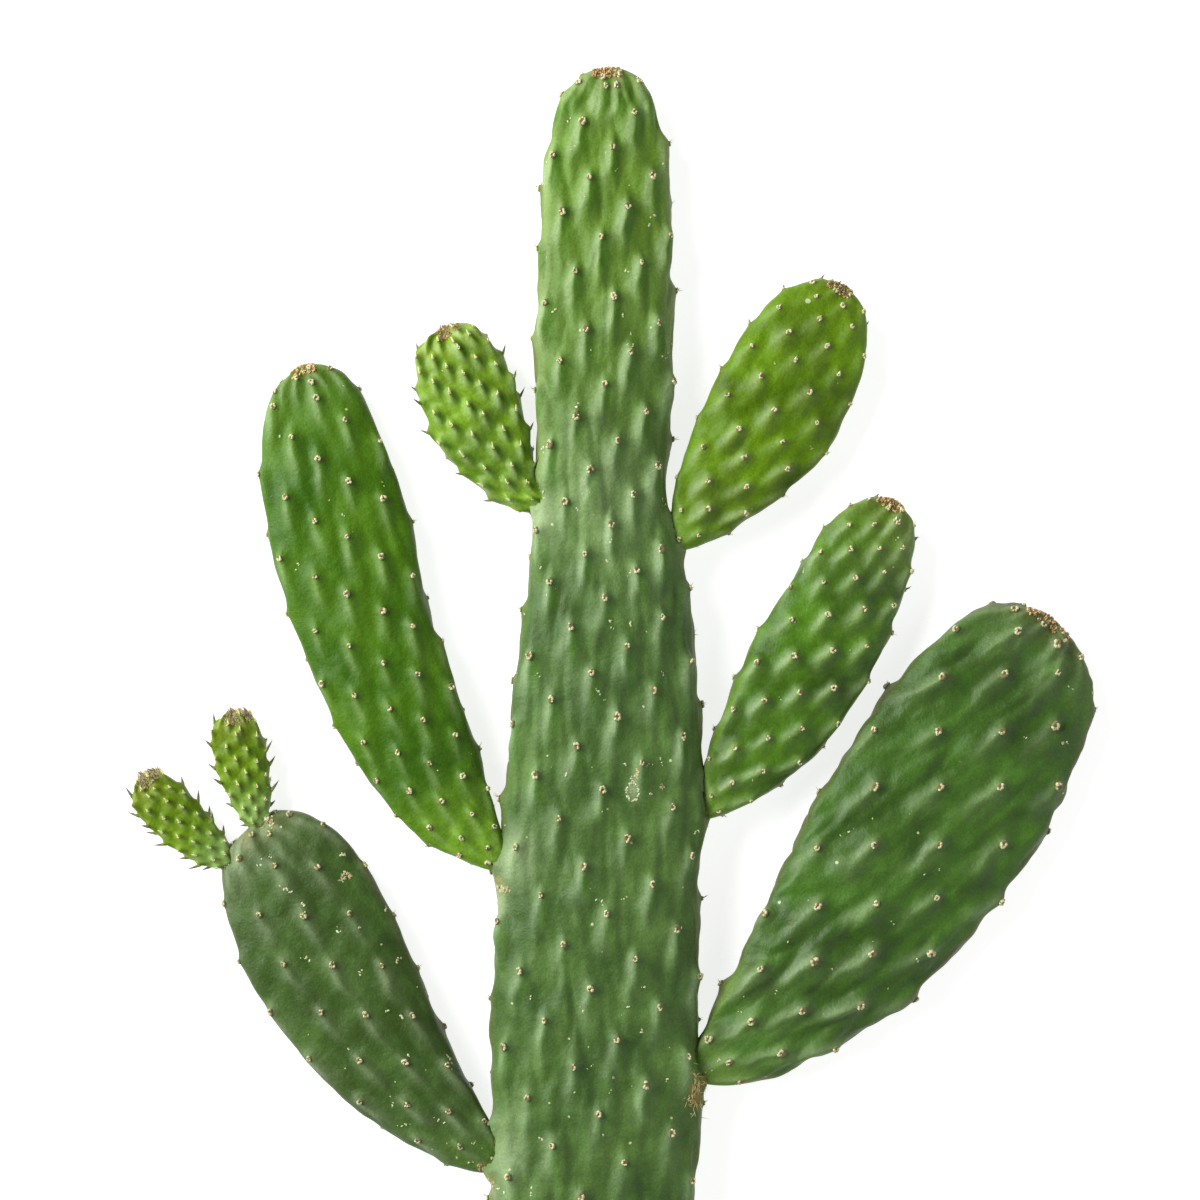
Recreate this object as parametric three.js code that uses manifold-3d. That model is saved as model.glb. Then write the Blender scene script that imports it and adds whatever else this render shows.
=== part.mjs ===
// A branched prickly pear cutting: an old flattened stem with six pads and two young buds on it.
// It lies on its back, so X is to its right, Y runs up the stem and Z is the height over the surface.
// Sizes are in millimetres.
import * as THREE from 'three';
import { mergeVertices } from 'three/addons/utils/BufferGeometryUtils.js';
import Module from 'manifold-3d';

const wasm = await Module();
wasm.setup();

const seatGap = 0.3; // between a pad and the flank that it grew from
const rimPower = 0.7; // below 1, the two faces are flat and the rim is round
const neckPower = 2.2; // a low power thins a pad early towards its base
const padPower = 5; // and a high one keeps its thickness close up to its tip
const stemPower = 8;
const ridgeTop = 1.2; // where ridges meet, against the height of one
const ridgeFloor = 0.3; // of a ridge's height, by which the hollows lie under the plain outline
const mostAreoles = 150; // each way from the middle of a series
const bendSpan = 50; // areoles over which a series' drift and ease are stated
const goldenTurn = 0.382; // of a full turn, from one areole of a crown to the next
const crownCount = 12;
const crownReach = 9; // down from the growing tip
const spineSink = 1.5; // of a spine's root under the skin
const spineLean = 0.7; // towards the tip, against 1 straight out
const spineClear = 4; // between a spine and a pad that leans over it
const floorClear = 1.5; // a spine that would come lower than this was pressed off
const bareSteps = 3; // one areole in this many is left without a spine

// Every pad runs from its base, inside the piece that carries it, to its growing tip.
// half is the half width and bow the centre line's offset to the right, at even steps of the outline.
// level is the height of the mid-plane and thick the half thickness, each at the base and at the tip.
// An areole series climbs by a steady rise and turn, numbered both ways from its middle.
const stem = {
  name: 'stem',
  colour: 0x5d7d4c,
  base: [-3, -18],
  tip: [4, 523],
  cutEnd: true,
  level: [17.5, 12.2],
  thick: [19, 14],
  half: [46.5, 48, 48, 46.5, 46, 42.5, 37, 30.5, 31, 32, 30.5, 30, 28, 23.5, 17.5, 8, 0],
  bow: [0, 0, -0.5, 0, 2.5, 2.5, 2.5, -1, 0, -0.5, -0.5, 0, -0.5, 0, 0, 0, 0],
  rings: 54,
  sides: 36,
  ridge: { height: 3, width: 6.5, below: 17, above: 6 },
  spine: { length: 2.6, width: 3.4 },
  bareBase: 10,
  series: [
    { turn: 0.382, rise: 2.7, middle: 114, phase: 0.88, drift: 0.01, ease: -3.2, from: 0, to: 312 },
    { turn: -0.2168, rise: 2.9, middle: 421, phase: 0.085, drift: -0.024, ease: 7, from: 312, to: 541 },
  ],
  shoulders: [
    { side: -1, y: 154, height: 4, span: 9 },
    { side: -1, y: 14, height: 4, span: 8 },
    { side: -1, y: 322, height: 4, span: 8 },
    { side: 1, y: 303, height: 3, span: 8 },
    { side: 1, y: 178, height: 3.5, span: 8 },
    { side: 1, y: 57, height: 4.5, span: 9 },
  ],
};

const padLeftLow = {
  name: 'pad_left_low',
  colour: 0x567350,
  base: [-46.5, 13.5],
  tip: [-154, 177],
  level: [16, 9.2],
  thick: [12.5, 11],
  half: [0, 8.5, 17.5, 26.5, 33.5, 36.5, 32, 20, 0],
  bow: [0, -2.5, -8, -13.5, -14.5, -12, -8.5, -7.5, -3.5],
  rings: 20,
  sides: 20,
  ridge: { height: 2, width: 6, below: 13, above: 5 },
  spine: { length: 2.6, width: 3.4 },
  bareBase: 16,
  series: [{ turn: -0.2204, rise: 3.1, middle: 94.5, phase: 0.218, drift: -0.04, ease: -14.5 }],
};

const padLeftLong = {
  name: 'pad_left_long',
  colour: 0x5f8546,
  base: [-41.5, 151.5],
  tip: [-136.5, 384],
  level: [16, 8],
  thick: [11.5, 9.5],
  half: [0, 8.5, 20.5, 28, 30.5, 33, 28.5, 18, 0],
  bow: [0, -6.5, -15.5, -19.5, -19.5, -14, -8, -3.5, -1.5],
  rings: 26,
  sides: 20,
  ridge: { height: 2.4, width: 5, below: 12, above: 4.5 },
  spine: { length: 2.4, width: 3 },
  bareBase: 16,
  series: [{ turn: 0.2173, rise: 2.5, middle: 130.5, phase: 0.967, drift: -0.036, ease: 16.5 }],
};

const padLeftSmall = {
  name: 'pad_left_small',
  colour: 0x76953c,
  base: [-25, 316.5],
  tip: [-68.5, 402.5],
  level: [14.5, 12],
  thick: [8.5, 7.5],
  half: [0, 6.5, 10, 16, 21, 21.5, 18.5, 13, 0],
  bow: [0, -1, -7, -8.5, -9, -7.5, -6.5, -5.5, -4],
  rings: 14,
  sides: 16,
  ridge: { height: 1.8, width: 3.4, below: 6, above: 2.6 },
  spine: { length: 3.8, width: 2.4 },
  bareBase: 12,
  series: [{ turn: 0.382, rise: 1.45, middle: 48, phase: 0.3, drift: 0, ease: -5 }],
};

const padRightLow = {
  name: 'pad_right_low',
  colour: 0x567b49,
  base: [43, 55.5],
  tip: [204.5, 269.5],
  level: [16.5, 10.2],
  thick: [13.5, 12],
  half: [0, 12.5, 25.5, 39, 47.5, 49.5, 42.5, 27, 0],
  bow: [0, 4.5, 12, 16.5, 15.5, 13, 9.5, 7.5, 2],
  rings: 26,
  sides: 24,
  ridge: { height: 3, width: 7, below: 20, above: 6 },
  spine: { length: 2.6, width: 3.6 },
  bareBase: 20,
  series: [{ turn: 0.178, rise: 3.475, middle: 140.5, phase: 0.498, drift: -0.052, ease: -3.4 }],
};

const padRightMiddle = {
  name: 'pad_right_middle',
  colour: 0x608842,
  base: [43, 175],
  tip: [135, 322],
  level: [15.5, 13],
  thick: [10.5, 9],
  half: [0, 4, 15, 23.5, 27.5, 25.5, 21.5, 12.5, 0],
  bow: [0, 4, 5.5, 8, 7, 5.5, 2.5, 2, 1],
  rings: 20,
  sides: 18,
  ridge: { height: 2.8, width: 4.4, below: 9, above: 3.4 },
  spine: { length: 3, width: 2.8 },
  bareBase: 16,
  series: [{ turn: 0.1795, rise: 2.22, middle: 88.5, phase: 0.313, drift: -0.123, ease: -4.5 }],
};

const padRightUpper = {
  name: 'pad_right_upper',
  colour: 0x678e3c,
  base: [33, 299],
  tip: [111, 421.5],
  level: [14.5, 12.5],
  thick: [10, 8.5],
  half: [0, 5.5, 15, 24, 30, 30, 24.5, 14, 0],
  bow: [0, 1.5, 2.5, 4, 5.5, 4, 2.5, 2, 1.5],
  rings: 18,
  sides: 18,
  ridge: { height: 2.5, width: 5, below: 10, above: 4 },
  spine: { length: 3, width: 2.8 },
  bareBase: 16,
  series: [{ turn: -0.3838, rise: 2, middle: 69.5, phase: 0.175, drift: -0.015, ease: -15.5 }],
};

const budLeftOuter = {
  name: 'bud_left_outer',
  colour: 0x7d9a3c,
  base: [-168.5, 153.5],
  tip: [-209.5, 196],
  level: [10.5, 10],
  thick: [6, 5.5],
  half: [0, 4.5, 9, 11.5, 12, 8.5, 0],
  bow: [0, -1.5, -3, -4, -4, -4, -2],
  rings: 10,
  sides: 12,
  ridge: { height: 1.2, width: 2.6, below: 4, above: 2 },
  spine: { length: 3.8, width: 2 },
  bareBase: 9,
  series: [{ turn: 0.382, rise: 1.2, middle: 29, phase: 0.1, drift: 0, ease: 0 }],
};

const budLeftInner = {
  name: 'bud_left_inner',
  colour: 0x7d9a3c,
  base: [-156.5, 170],
  tip: [-167.5, 224.5],
  level: [10.5, 10],
  thick: [6, 5.5],
  half: [0, 4.5, 9, 11.5, 12, 8.5, 0],
  bow: [0, -1.5, -1.5, -2.5, -2.5, -2.5, -2.5],
  rings: 10,
  sides: 12,
  ridge: { height: 1.2, width: 2.6, below: 4, above: 2 },
  spine: { length: 3.8, width: 2 },
  bareBase: 9,
  series: [{ turn: 0.382, rise: 1.2, middle: 28, phase: 0.6, drift: 0, ease: 0 }],
};

// Half of a pad's cross-section turns to the sky and half to the surface.
class Section extends THREE.Curve {
  constructor(half, thick) {
    super();
    this.half = half;
    this.thick = thick;
    this.arcLengthDivisions = 400;
  }

  getPoint(t, target = new THREE.Vector3()) {
    const angle = 2 * Math.PI * t;
    return target.set(this.half * Math.cos(angle), 0, this.thick * flattened(Math.sin(angle)));
  }
}

function flattened(sine) {
  return Math.sign(sine) * Math.abs(sine) ** rimPower;
}

function splineOf(values) {
  return new THREE.SplineCurve(values.map((value, i) => new THREE.Vector2(i, value)));
}

// Works out what a pad's outline, areoles and skin share.
function prepare(pad) {
  const base = new THREE.Vector2(...pad.base);
  const axis = new THREE.Vector2(...pad.tip).sub(base);
  const length = axis.length();
  axis.normalize();
  const section = new Section(Math.max(...pad.half), (pad.thick[0] + pad.thick[1]) / 2);
  const shape = {
    ...pad,
    shoulders: pad.shoulders ?? [],
    length,
    section,
    origin: base,
    axis,
    aside: new THREE.Vector2(axis.y, -axis.x),
    halfCurve: splineOf(pad.half),
    bowCurve: splineOf(pad.bow),
  };
  shape.areoles = [...pad.series.flatMap((series) => climb(shape, series)), ...crown(shape)];
  return shape;
}

// The share of a pad's length at an even step of its outline, closer together at round ends.
function shareAt(shape, step) {
  return shape.cutEnd ? Math.sin((Math.PI * step) / 2) : (1 - Math.cos(Math.PI * step)) / 2;
}

function stepAt(shape, share) {
  return shape.cutEnd ? (2 * Math.asin(share)) / Math.PI : Math.acos(1 - 2 * share) / Math.PI;
}

function climb(shape, series) {
  const from = series.from ?? 0;
  const to = series.to ?? shape.length;
  const list = [];
  for (let n = -mostAreoles; n <= mostAreoles; n += 1) {
    const bend = (n / bendSpan) ** 2;
    const distance = series.middle + series.rise * n + series.ease * bend;
    const turn = series.phase + series.turn * n + series.drift * bend;
    const rising = series.rise + (2 * series.ease * n) / bendSpan ** 2 > 0;
    const inside = distance > from && distance < Math.min(to, shape.length - crownReach);
    if (rising && inside) {
      list.push({ distance, turn: turn - Math.floor(turn) });
    }
  }
  return list;
}

// The close cluster of areoles round the growing tip.
function crown(shape) {
  const list = [];
  for (let n = 0; n < crownCount; n += 1) {
    const distance = shape.length - (crownReach * (n + 0.5)) / crownCount;
    list.push({ distance, turn: (n * goldenTurn) % 1 });
  }
  return list;
}

// The half thickness at a share of the length.
function thickAt(shape, share) {
  const full = THREE.MathUtils.lerp(shape.thick[0], shape.thick[1], share);
  if (shape.cutEnd) {
    return full * Math.sqrt(1 - share ** stemPower);
  }
  const power = share < 0.5 ? neckPower : padPower;
  return full * Math.sqrt(1 - Math.abs(2 * share - 1) ** power);
}

function halfAt(shape, step) {
  return Math.max(0, shape.halfCurve.getPoint(step).y);
}

// A point of the smooth skin. turn goes once round the rim, from the right edge over the upper face.
function pointOn(shape, turn, step) {
  const share = shareAt(shape, step);
  const angle = 2 * Math.PI * shape.section.getUtoTmapping(turn - Math.floor(turn));
  const cosine = Math.cos(angle);
  const centre = shape.origin.clone().addScaledVector(shape.axis, share * shape.length);
  let offset = halfAt(shape, step) * cosine;
  for (const shoulder of shape.shoulders) {
    const swell = shoulder.height * Math.exp(-(((centre.y - shoulder.y) / shoulder.span) ** 2));
    offset += shoulder.side * swell * Math.max(0, shoulder.side * cosine) ** 3;
  }
  centre.addScaledVector(shape.aside, offset + shape.bowCurve.getPoint(step).y);
  const level = THREE.MathUtils.lerp(shape.level[0], shape.level[1], share);
  return new THREE.Vector3(centre.x, centre.y, level + thickAt(shape, share) * flattened(Math.sin(angle)));
}

function normalOn(shape, turn, step) {
  const nudge = 0.002;
  const middle = THREE.MathUtils.clamp(step, 2 * nudge, 1 - 2 * nudge);
  const along = pointOn(shape, turn, middle + nudge).sub(pointOn(shape, turn, middle - nudge));
  const across = pointOn(shape, turn + nudge, middle).sub(pointOn(shape, turn - nudge, middle));
  return along.cross(across).normalize();
}

// The height of the ridges: each swells up to its areole and runs out towards the base.
function reliefAt(shape, turn, step) {
  const { height, width, below, above } = shape.ridge;
  const share = shareAt(shape, step);
  const distance = share * shape.length;
  const girth = 4 * halfAt(shape, step) + 2.4 * thickAt(shape, share);
  let total = 0;
  for (const areole of shape.areoles) {
    const ahead = (distance - areole.distance) / (distance > areole.distance ? above : below);
    const apart = turn - areole.turn;
    const across = ((apart - Math.round(apart)) * girth) / width;
    total += Math.exp(-ahead * ahead - across * across);
  }
  const toBase = shape.cutEnd ? 1 : THREE.MathUtils.smoothstep(share, 0, 0.12);
  const toTip = 1 - THREE.MathUtils.smoothstep(share, 0.94, 1);
  return height * (Math.min(total, ridgeTop) - ridgeFloor) * toBase * toTip;
}

// A point of the finished skin, pressed flat where it lies on the surface.
function skinOn(shape, turn, step, grow = 0) {
  const point = pointOn(shape, turn, step);
  const normal = normalOn(shape, turn, step);
  point.addScaledVector(normal, reliefAt(shape, turn, step) + grow);
  point.z = Math.max(point.z, -grow);
  return point;
}

// The same skin between the corners of one facet, which is where a spine stands.
function facetOn(shape, turn, step) {
  const side = turn * shape.sides;
  const ring = Math.min(step * shape.rings, shape.rings - 0.01);
  const low = Math.floor(ring);
  const left = Math.floor(side);
  const corner = (across, up) => skinOn(shape, (left + across) / shape.sides, (low + up) / shape.rings);
  const lower = corner(0, 0).lerp(corner(1, 0), side % 1);
  return lower.lerp(corner(0, 1).lerp(corner(1, 1), side % 1), ring - low);
}

// The closed skin of a pad, without its spines.
function bodyOf(shape, grow = 0) {
  const { rings, sides } = shape;
  const positions = [];
  const index = [];
  const first = shape.cutEnd ? 0 : 1;
  const add = (point) => positions.push(point.x, point.y, point.z) / 3 - 1;
  const basePole = add(baseCentre(shape, grow));
  const ringStarts = [];
  for (let ring = first; ring < rings; ring += 1) {
    ringStarts.push(positions.length / 3);
    for (let side = 0; side < sides; side += 1) {
      add(skinOn(shape, side / sides, ring / rings, grow));
    }
  }
  const tipPole = add(skinOn(shape, 0, 1, grow));
  for (let side = 0; side < sides; side += 1) {
    const next = (side + 1) % sides;
    index.push(basePole, ringStarts[0] + side, ringStarts[0] + next);
    for (let ring = 1; ring < ringStarts.length; ring += 1) {
      const low = ringStarts[ring - 1];
      const high = ringStarts[ring];
      index.push(low + side, high + side, low + next);
      index.push(high + side, high + next, low + next);
    }
    const last = ringStarts[ringStarts.length - 1];
    index.push(last + side, tipPole, last + next);
  }
  const geometry = new THREE.BufferGeometry();
  geometry.setAttribute('position', new THREE.Float32BufferAttribute(positions, 3));
  geometry.setIndex(index);
  return solidOf(geometry);
}

function baseCentre(shape, grow) {
  if (!shape.cutEnd) {
    return skinOn(shape, 0, 0, grow);
  }
  return new THREE.Vector3(shape.origin.x, shape.origin.y, shape.level[0]);
}

function solidOf(geometry) {
  const bare = geometry.clone();
  bare.deleteAttribute('normal');
  bare.deleteAttribute('uv');
  const merged = mergeVertices(bare, 1e-4);
  const vertProperties = new Float32Array(merged.attributes.position.array);
  const triVerts = new Uint32Array(merged.index.array);
  return new wasm.Manifold(new wasm.Mesh({ numProp: 3, vertProperties, triVerts }));
}

function geometryOf(solid) {
  const mesh = solid.getMesh();
  const geometry = new THREE.BufferGeometry();
  geometry.setAttribute('position', new THREE.Float32BufferAttribute(mesh.vertProperties, 3));
  geometry.setIndex(new THREE.Uint32BufferAttribute(mesh.triVerts, 1));
  geometry.computeVertexNormals();
  return geometry;
}

// Whether a point lies within a spine's clearance of a pad's outline, seen from above.
function isOver(shape, point) {
  const from = new THREE.Vector2(point.x, point.y).sub(shape.origin);
  const step = stepAt(shape, THREE.MathUtils.clamp(from.dot(shape.axis) / shape.length, 0, 1));
  const offset = from.dot(shape.aside) - shape.bowCurve.getPoint(step).y;
  const beyond = Math.max(0, -from.dot(shape.axis), from.dot(shape.axis) - shape.length);
  return Math.hypot(Math.max(0, Math.abs(offset) - halfAt(shape, step)), beyond) < spineClear;
}

// The spines, each a four-sided point on its areole's cushion, leaning towards the tip.
function spinesOf(shape, carried) {
  const { length, width } = shape.spine;
  const lean = new THREE.Vector3(shape.axis.x, shape.axis.y, 0).multiplyScalar(spineLean);
  const spines = [];
  shape.areoles.forEach((areole, n) => {
    const step = stepAt(shape, areole.distance / shape.length);
    const root = facetOn(shape, areole.turn, step);
    const pointing = normalOn(shape, areole.turn, step).add(lean).normalize();
    const end = root.clone().addScaledVector(pointing, length);
    const bare = n % bareSteps === 0 || areole.distance < shape.bareBase;
    const pressed = end.z < floorClear;
    if (bare || pressed || carried.some((pad) => isOver(pad, end))) {
      return;
    }
    const spine = new THREE.ConeGeometry(width / 2, length + spineSink, 4);
    spine.translate(0, (length - spineSink) / 2, 0);
    spine.applyQuaternion(new THREE.Quaternion().setFromUnitVectors(new THREE.Vector3(0, 1, 0), pointing));
    spine.translate(root.x, root.y, root.z);
    spines.push(solidOf(spine));
  });
  return spines;
}

// A piece with its spines, less what lies within the gap of the flank that carries it.
function grow(shape, carried, flank) {
  const whole = wasm.Manifold.union([bodyOf(shape), ...spinesOf(shape, carried)]);
  const solid = flank ? largestOf(whole.subtract(flank)) : whole;
  const material = new THREE.MeshStandardMaterial({ color: shape.colour, roughness: 0.55, metalness: 0 });
  const mesh = new THREE.Mesh(geometryOf(solid), material);
  mesh.name = shape.name;
  return mesh;
}

// Cutting a pad off at a flank can leave a crumb of a spine, which is dropped.
function largestOf(solid) {
  return solid.decompose().sort((a, b) => b.volume() - a.volume())[0];
}

const cutting = new THREE.Group();
const trunk = prepare(stem);
const lowest = prepare(padLeftLow);
const others = [padLeftLong, padLeftSmall, padRightLow, padRightMiddle, padRightUpper].map(prepare);
const buds = [budLeftOuter, budLeftInner].map(prepare);
const stemFlank = bodyOf(trunk, seatGap);
const lowestFlank = bodyOf(lowest, seatGap);
cutting.add(grow(trunk, [lowest, ...others]));
cutting.add(grow(lowest, buds, stemFlank));
others.forEach((pad) => cutting.add(grow(pad, [], stemFlank)));
buds.forEach((bud) => cutting.add(grow(bud, [], lowestFlank)));

// The origin is under the middle of the whole cutting, on the surface that it lies on.
const box = new THREE.Box3().setFromObject(cutting);
const centre = box.getCenter(new THREE.Vector3());
cutting.position.set(-centre.x, -centre.y, -box.min.z);

export default cutting;
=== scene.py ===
import math
from functools import partial

import bpy
import numpy as np
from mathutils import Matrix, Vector


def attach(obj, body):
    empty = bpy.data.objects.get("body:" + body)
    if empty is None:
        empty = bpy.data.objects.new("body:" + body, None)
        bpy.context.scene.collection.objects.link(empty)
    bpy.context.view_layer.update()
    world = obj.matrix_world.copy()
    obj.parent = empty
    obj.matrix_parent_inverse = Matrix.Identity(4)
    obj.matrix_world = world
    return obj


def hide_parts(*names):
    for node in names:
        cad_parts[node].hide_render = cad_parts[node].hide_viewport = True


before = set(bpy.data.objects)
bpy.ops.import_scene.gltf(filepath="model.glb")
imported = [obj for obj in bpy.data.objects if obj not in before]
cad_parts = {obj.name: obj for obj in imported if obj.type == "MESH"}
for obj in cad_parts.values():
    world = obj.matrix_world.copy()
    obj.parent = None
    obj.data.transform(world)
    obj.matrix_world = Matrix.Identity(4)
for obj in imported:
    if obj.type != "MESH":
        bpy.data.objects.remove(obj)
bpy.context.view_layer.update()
print("frame loaded")

mm = 0.001
drawingOrigin = (-6.432, -253.238)  # where the outlines' own zero lies in the frame, in mm
rimPower = 0.7  # below 1, the two faces are flat and the rim is round
neckPower = 2.2  # a low power thins a pad early towards its base
padPower = 5  # and a high one keeps its thickness close up to its tip
stemPower = 8
ridgeTop = 1.2  # where ridges meet, against the height of one
ridgeFloor = 0.3  # of a ridge's height, by which the hollows lie under the plain outline
bendSpan = 50  # areoles over which a series' drift and ease are stated
mostAreoles = 150  # each way from the middle of a series
goldenTurn = 0.382  # of a full turn, from one areole of a crown to the next
crownCount = 12
crownReach = 9  # down from the growing tip
baseRounding = 9  # mm over which the base of a carried pad rounds off
straying = 0.25  # of a mound's reach, by which areoles stray off their spiral
leastHalf = 0.1  # mm, in place of a half width or thickness of nothing at a tip

relief = dict(
    reach=2.2,  # ridge lengths after which nothing of a ridge is left
    narrow=0.75, broader=0.5,  # of a ridge's width, at its areole, and added where it runs out
    waxMiddle=0.35, waxLength=0.42,  # of the length below an areole, where the painted highlight and painted shade lie beside the ridge
    waxWidth=0.6,  # of a ridge's width
    dustedSide=0.6, rubbedSide=0.8,  # how far from the crest the painted highlight, on the left, and the painted shade, on the right, are at their strongest
    vigours=(0.65, 1.2),  # of a ridge's height, from one areole to another
    baseFade=0.12, tipFade=0.975,  # shares of a pad's length where ridges are full, and sink again
    tipLoss=0.6,
    wanderSize=3.2,  # of a ridge's width
    smallFolds=0.45, smallShare=0.2,  # of the large folds' size and height
    creaseSoft=0.02,  # above 0, the bottom of a crease is round
    foldMiddle=0.8, foldTop=1.6,
    rimFacing=(0.2, 0.8),  # how far up the skin faces where the rim turns into the face
)
socket = dict(
    neck=0.25,  # share of a pad's length that can lie in its carrier
    cover=(-0.5, 0.9),  # mm inside the neck's rim over which the carrier's skin gives way
    tuck=0.6,  # mm by which it ends under the pad's skin
)


# Outlines and skin, the same forms as the solids, in mm.

def splineAt(values, step):
    values = np.asarray(values, float)
    last = len(values) - 1
    place = np.clip(step, 0, 1) * last
    low = np.clip(np.floor(place).astype(int), 0, last - 1)
    part = place - low
    p0, p1, p2, p3 = (values[np.clip(low + n, 0, last)] for n in (-1, 0, 1, 2))
    v0 = (p2 - p0) / 2
    v1 = (p3 - p1) / 2
    cubic = 2 * p1 - 2 * p2 + v0 + v1
    square = 3 * p2 - 3 * p1 - 2 * v0 - v1
    return cubic * part**3 + square * part**2 + v0 * part + p1


def flattened(sine):
    return np.sign(sine) * np.abs(sine) ** rimPower


def smoothStep(value, low, high):
    part = np.clip((value - low) / (high - low), 0, 1)
    return part * part * (3 - 2 * part)


def between(pair, share):
    return pair[0] + (pair[1] - pair[0]) * share


def unit(vectors):
    return vectors / np.maximum(np.linalg.norm(vectors, axis=-1, keepdims=True), 1e-9)


def lumps(points, size, seed, waves=14):
    # soft even lumps of about one size in mm, summed from a few slanting waves
    rng = np.random.default_rng(seed)
    total = np.zeros(len(points))
    for _ in range(waves):
        heading = rng.normal(size=3)
        heading /= np.linalg.norm(heading)
        pitch = 2 * math.pi / (size * rng.uniform(0.7, 1.5))
        total += np.sin(points @ (heading * pitch) + rng.uniform(0, 2 * math.pi))
    return total / math.sqrt(waves)


def girthOf(half, thick):
    # about the way round a flat oval, from its half width and half thickness
    return 4 * half + 2.4 * thick


def prepare(pad):
    base = np.array(pad["base"], float)
    axis = np.array(pad["tip"], float) - base
    length = np.hypot(*axis)
    axis /= length
    shape = dict(pad, length=length, axis=axis, origin=base, aside=np.array([axis[1], -axis[0]]))
    angles = np.linspace(0, 2 * math.pi, 1201)
    half = max(pad["half"])
    thick = sum(pad["thick"]) / 2
    rim = np.stack([half * np.cos(angles), thick * flattened(np.sin(angles))], 1)
    run = np.concatenate([[0], np.cumsum(np.hypot(*np.diff(rim, axis=0).T))])
    shape["round"] = (run / run[-1], angles)  # share of the way round, against the angle
    areoles = []
    for *series, high in pad["series"]:
        areoles += climb(*series, min(high, length - crownReach))
    grown = len(areoles)  # the rest are the crown's
    for n in range(crownCount):
        areoles.append((length - crownReach * (n + 0.5) / crownCount, (n * goldenTurn) % 1))
    areoles = np.array(areoles)
    rng = np.random.default_rng(len(areoles))
    vigour = rng.uniform(*relief["vigours"], len(areoles))
    shape["vigour"] = vigour * between(pad["ridge"]["vigour"], areoles[:, 0] / length)
    # no areole sits quite on its spiral
    stray = np.clip(rng.normal(0, straying, (2, grown)), -2 * straying, 2 * straying)
    stray *= pad["mound"]["reach"]
    areoles[:grown, 0] += stray[0]
    areoles[:grown, 1] += stray[1] / girthOf(half, thick)
    shape["areoles"] = areoles
    return shape


def climb(turn, rise, middle, phase, drift, ease, low, high):
    found = []
    for n in range(-mostAreoles, mostAreoles + 1):
        bend = (n / bendSpan) ** 2
        distance = middle + rise * n + ease * bend
        if rise + 2 * ease * n / bendSpan**2 > 0 and low < distance < high:
            found.append((distance, (phase + turn * n + drift * bend) % 1))
    return found


def shareAt(shape, step):
    if shape["cutEnd"]:
        return np.sin(math.pi * np.asarray(step) / 2)
    return (1 - np.cos(math.pi * np.asarray(step))) / 2


def stepAt(shape, share):
    share = np.clip(share, 0, 1)
    return 2 * np.arcsin(share) / math.pi if shape["cutEnd"] else np.arccos(1 - 2 * share) / math.pi


def thickAt(shape, share):
    full = between(shape["thick"], share)
    if shape["cutEnd"]:
        return full * np.sqrt(1 - share**stemPower)
    power = np.where(share < 0.5, neckPower, padPower)
    return full * np.sqrt(np.maximum(0, 1 - np.abs(2 * share - 1) ** power))


def halfAt(shape, step):
    return np.maximum(0, splineAt(shape["half"], step))


def plainPoints(shape, turn, step):
    share = shareAt(shape, step)
    angle = np.interp(turn % 1, *shape["round"])
    cosine = np.cos(angle)
    centre = shape["origin"] + np.outer(share * shape["length"], shape["axis"])
    offset = halfAt(shape, step) * cosine
    for side, y, height, span in shape["shoulders"]:
        swell = height * np.exp(-(((centre[:, 1] - y) / span) ** 2))
        offset = offset + side * swell * np.maximum(0, side * cosine) ** 3
    centre = centre + np.outer(offset + splineAt(shape["bow"], step), shape["aside"])
    height = between(shape["level"], share) + thickAt(shape, share) * flattened(np.sin(angle))
    return np.column_stack([centre, height])


def waysOn(pointsAt, shape, turn, step, nudge):
    # the ways along and across a skin, by small steps each way on it
    middle = np.clip(step, 2 * nudge, 1 - 2 * nudge)
    along = pointsAt(shape, turn, middle + nudge) - pointsAt(shape, turn, middle - nudge)
    across = pointsAt(shape, turn + nudge, middle) - pointsAt(shape, turn - nudge, middle)
    return along, across


def plainNormals(shape, turn, step):
    return unit(np.cross(*waysOn(plainPoints, shape, turn, step, 0.002)))


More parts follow.
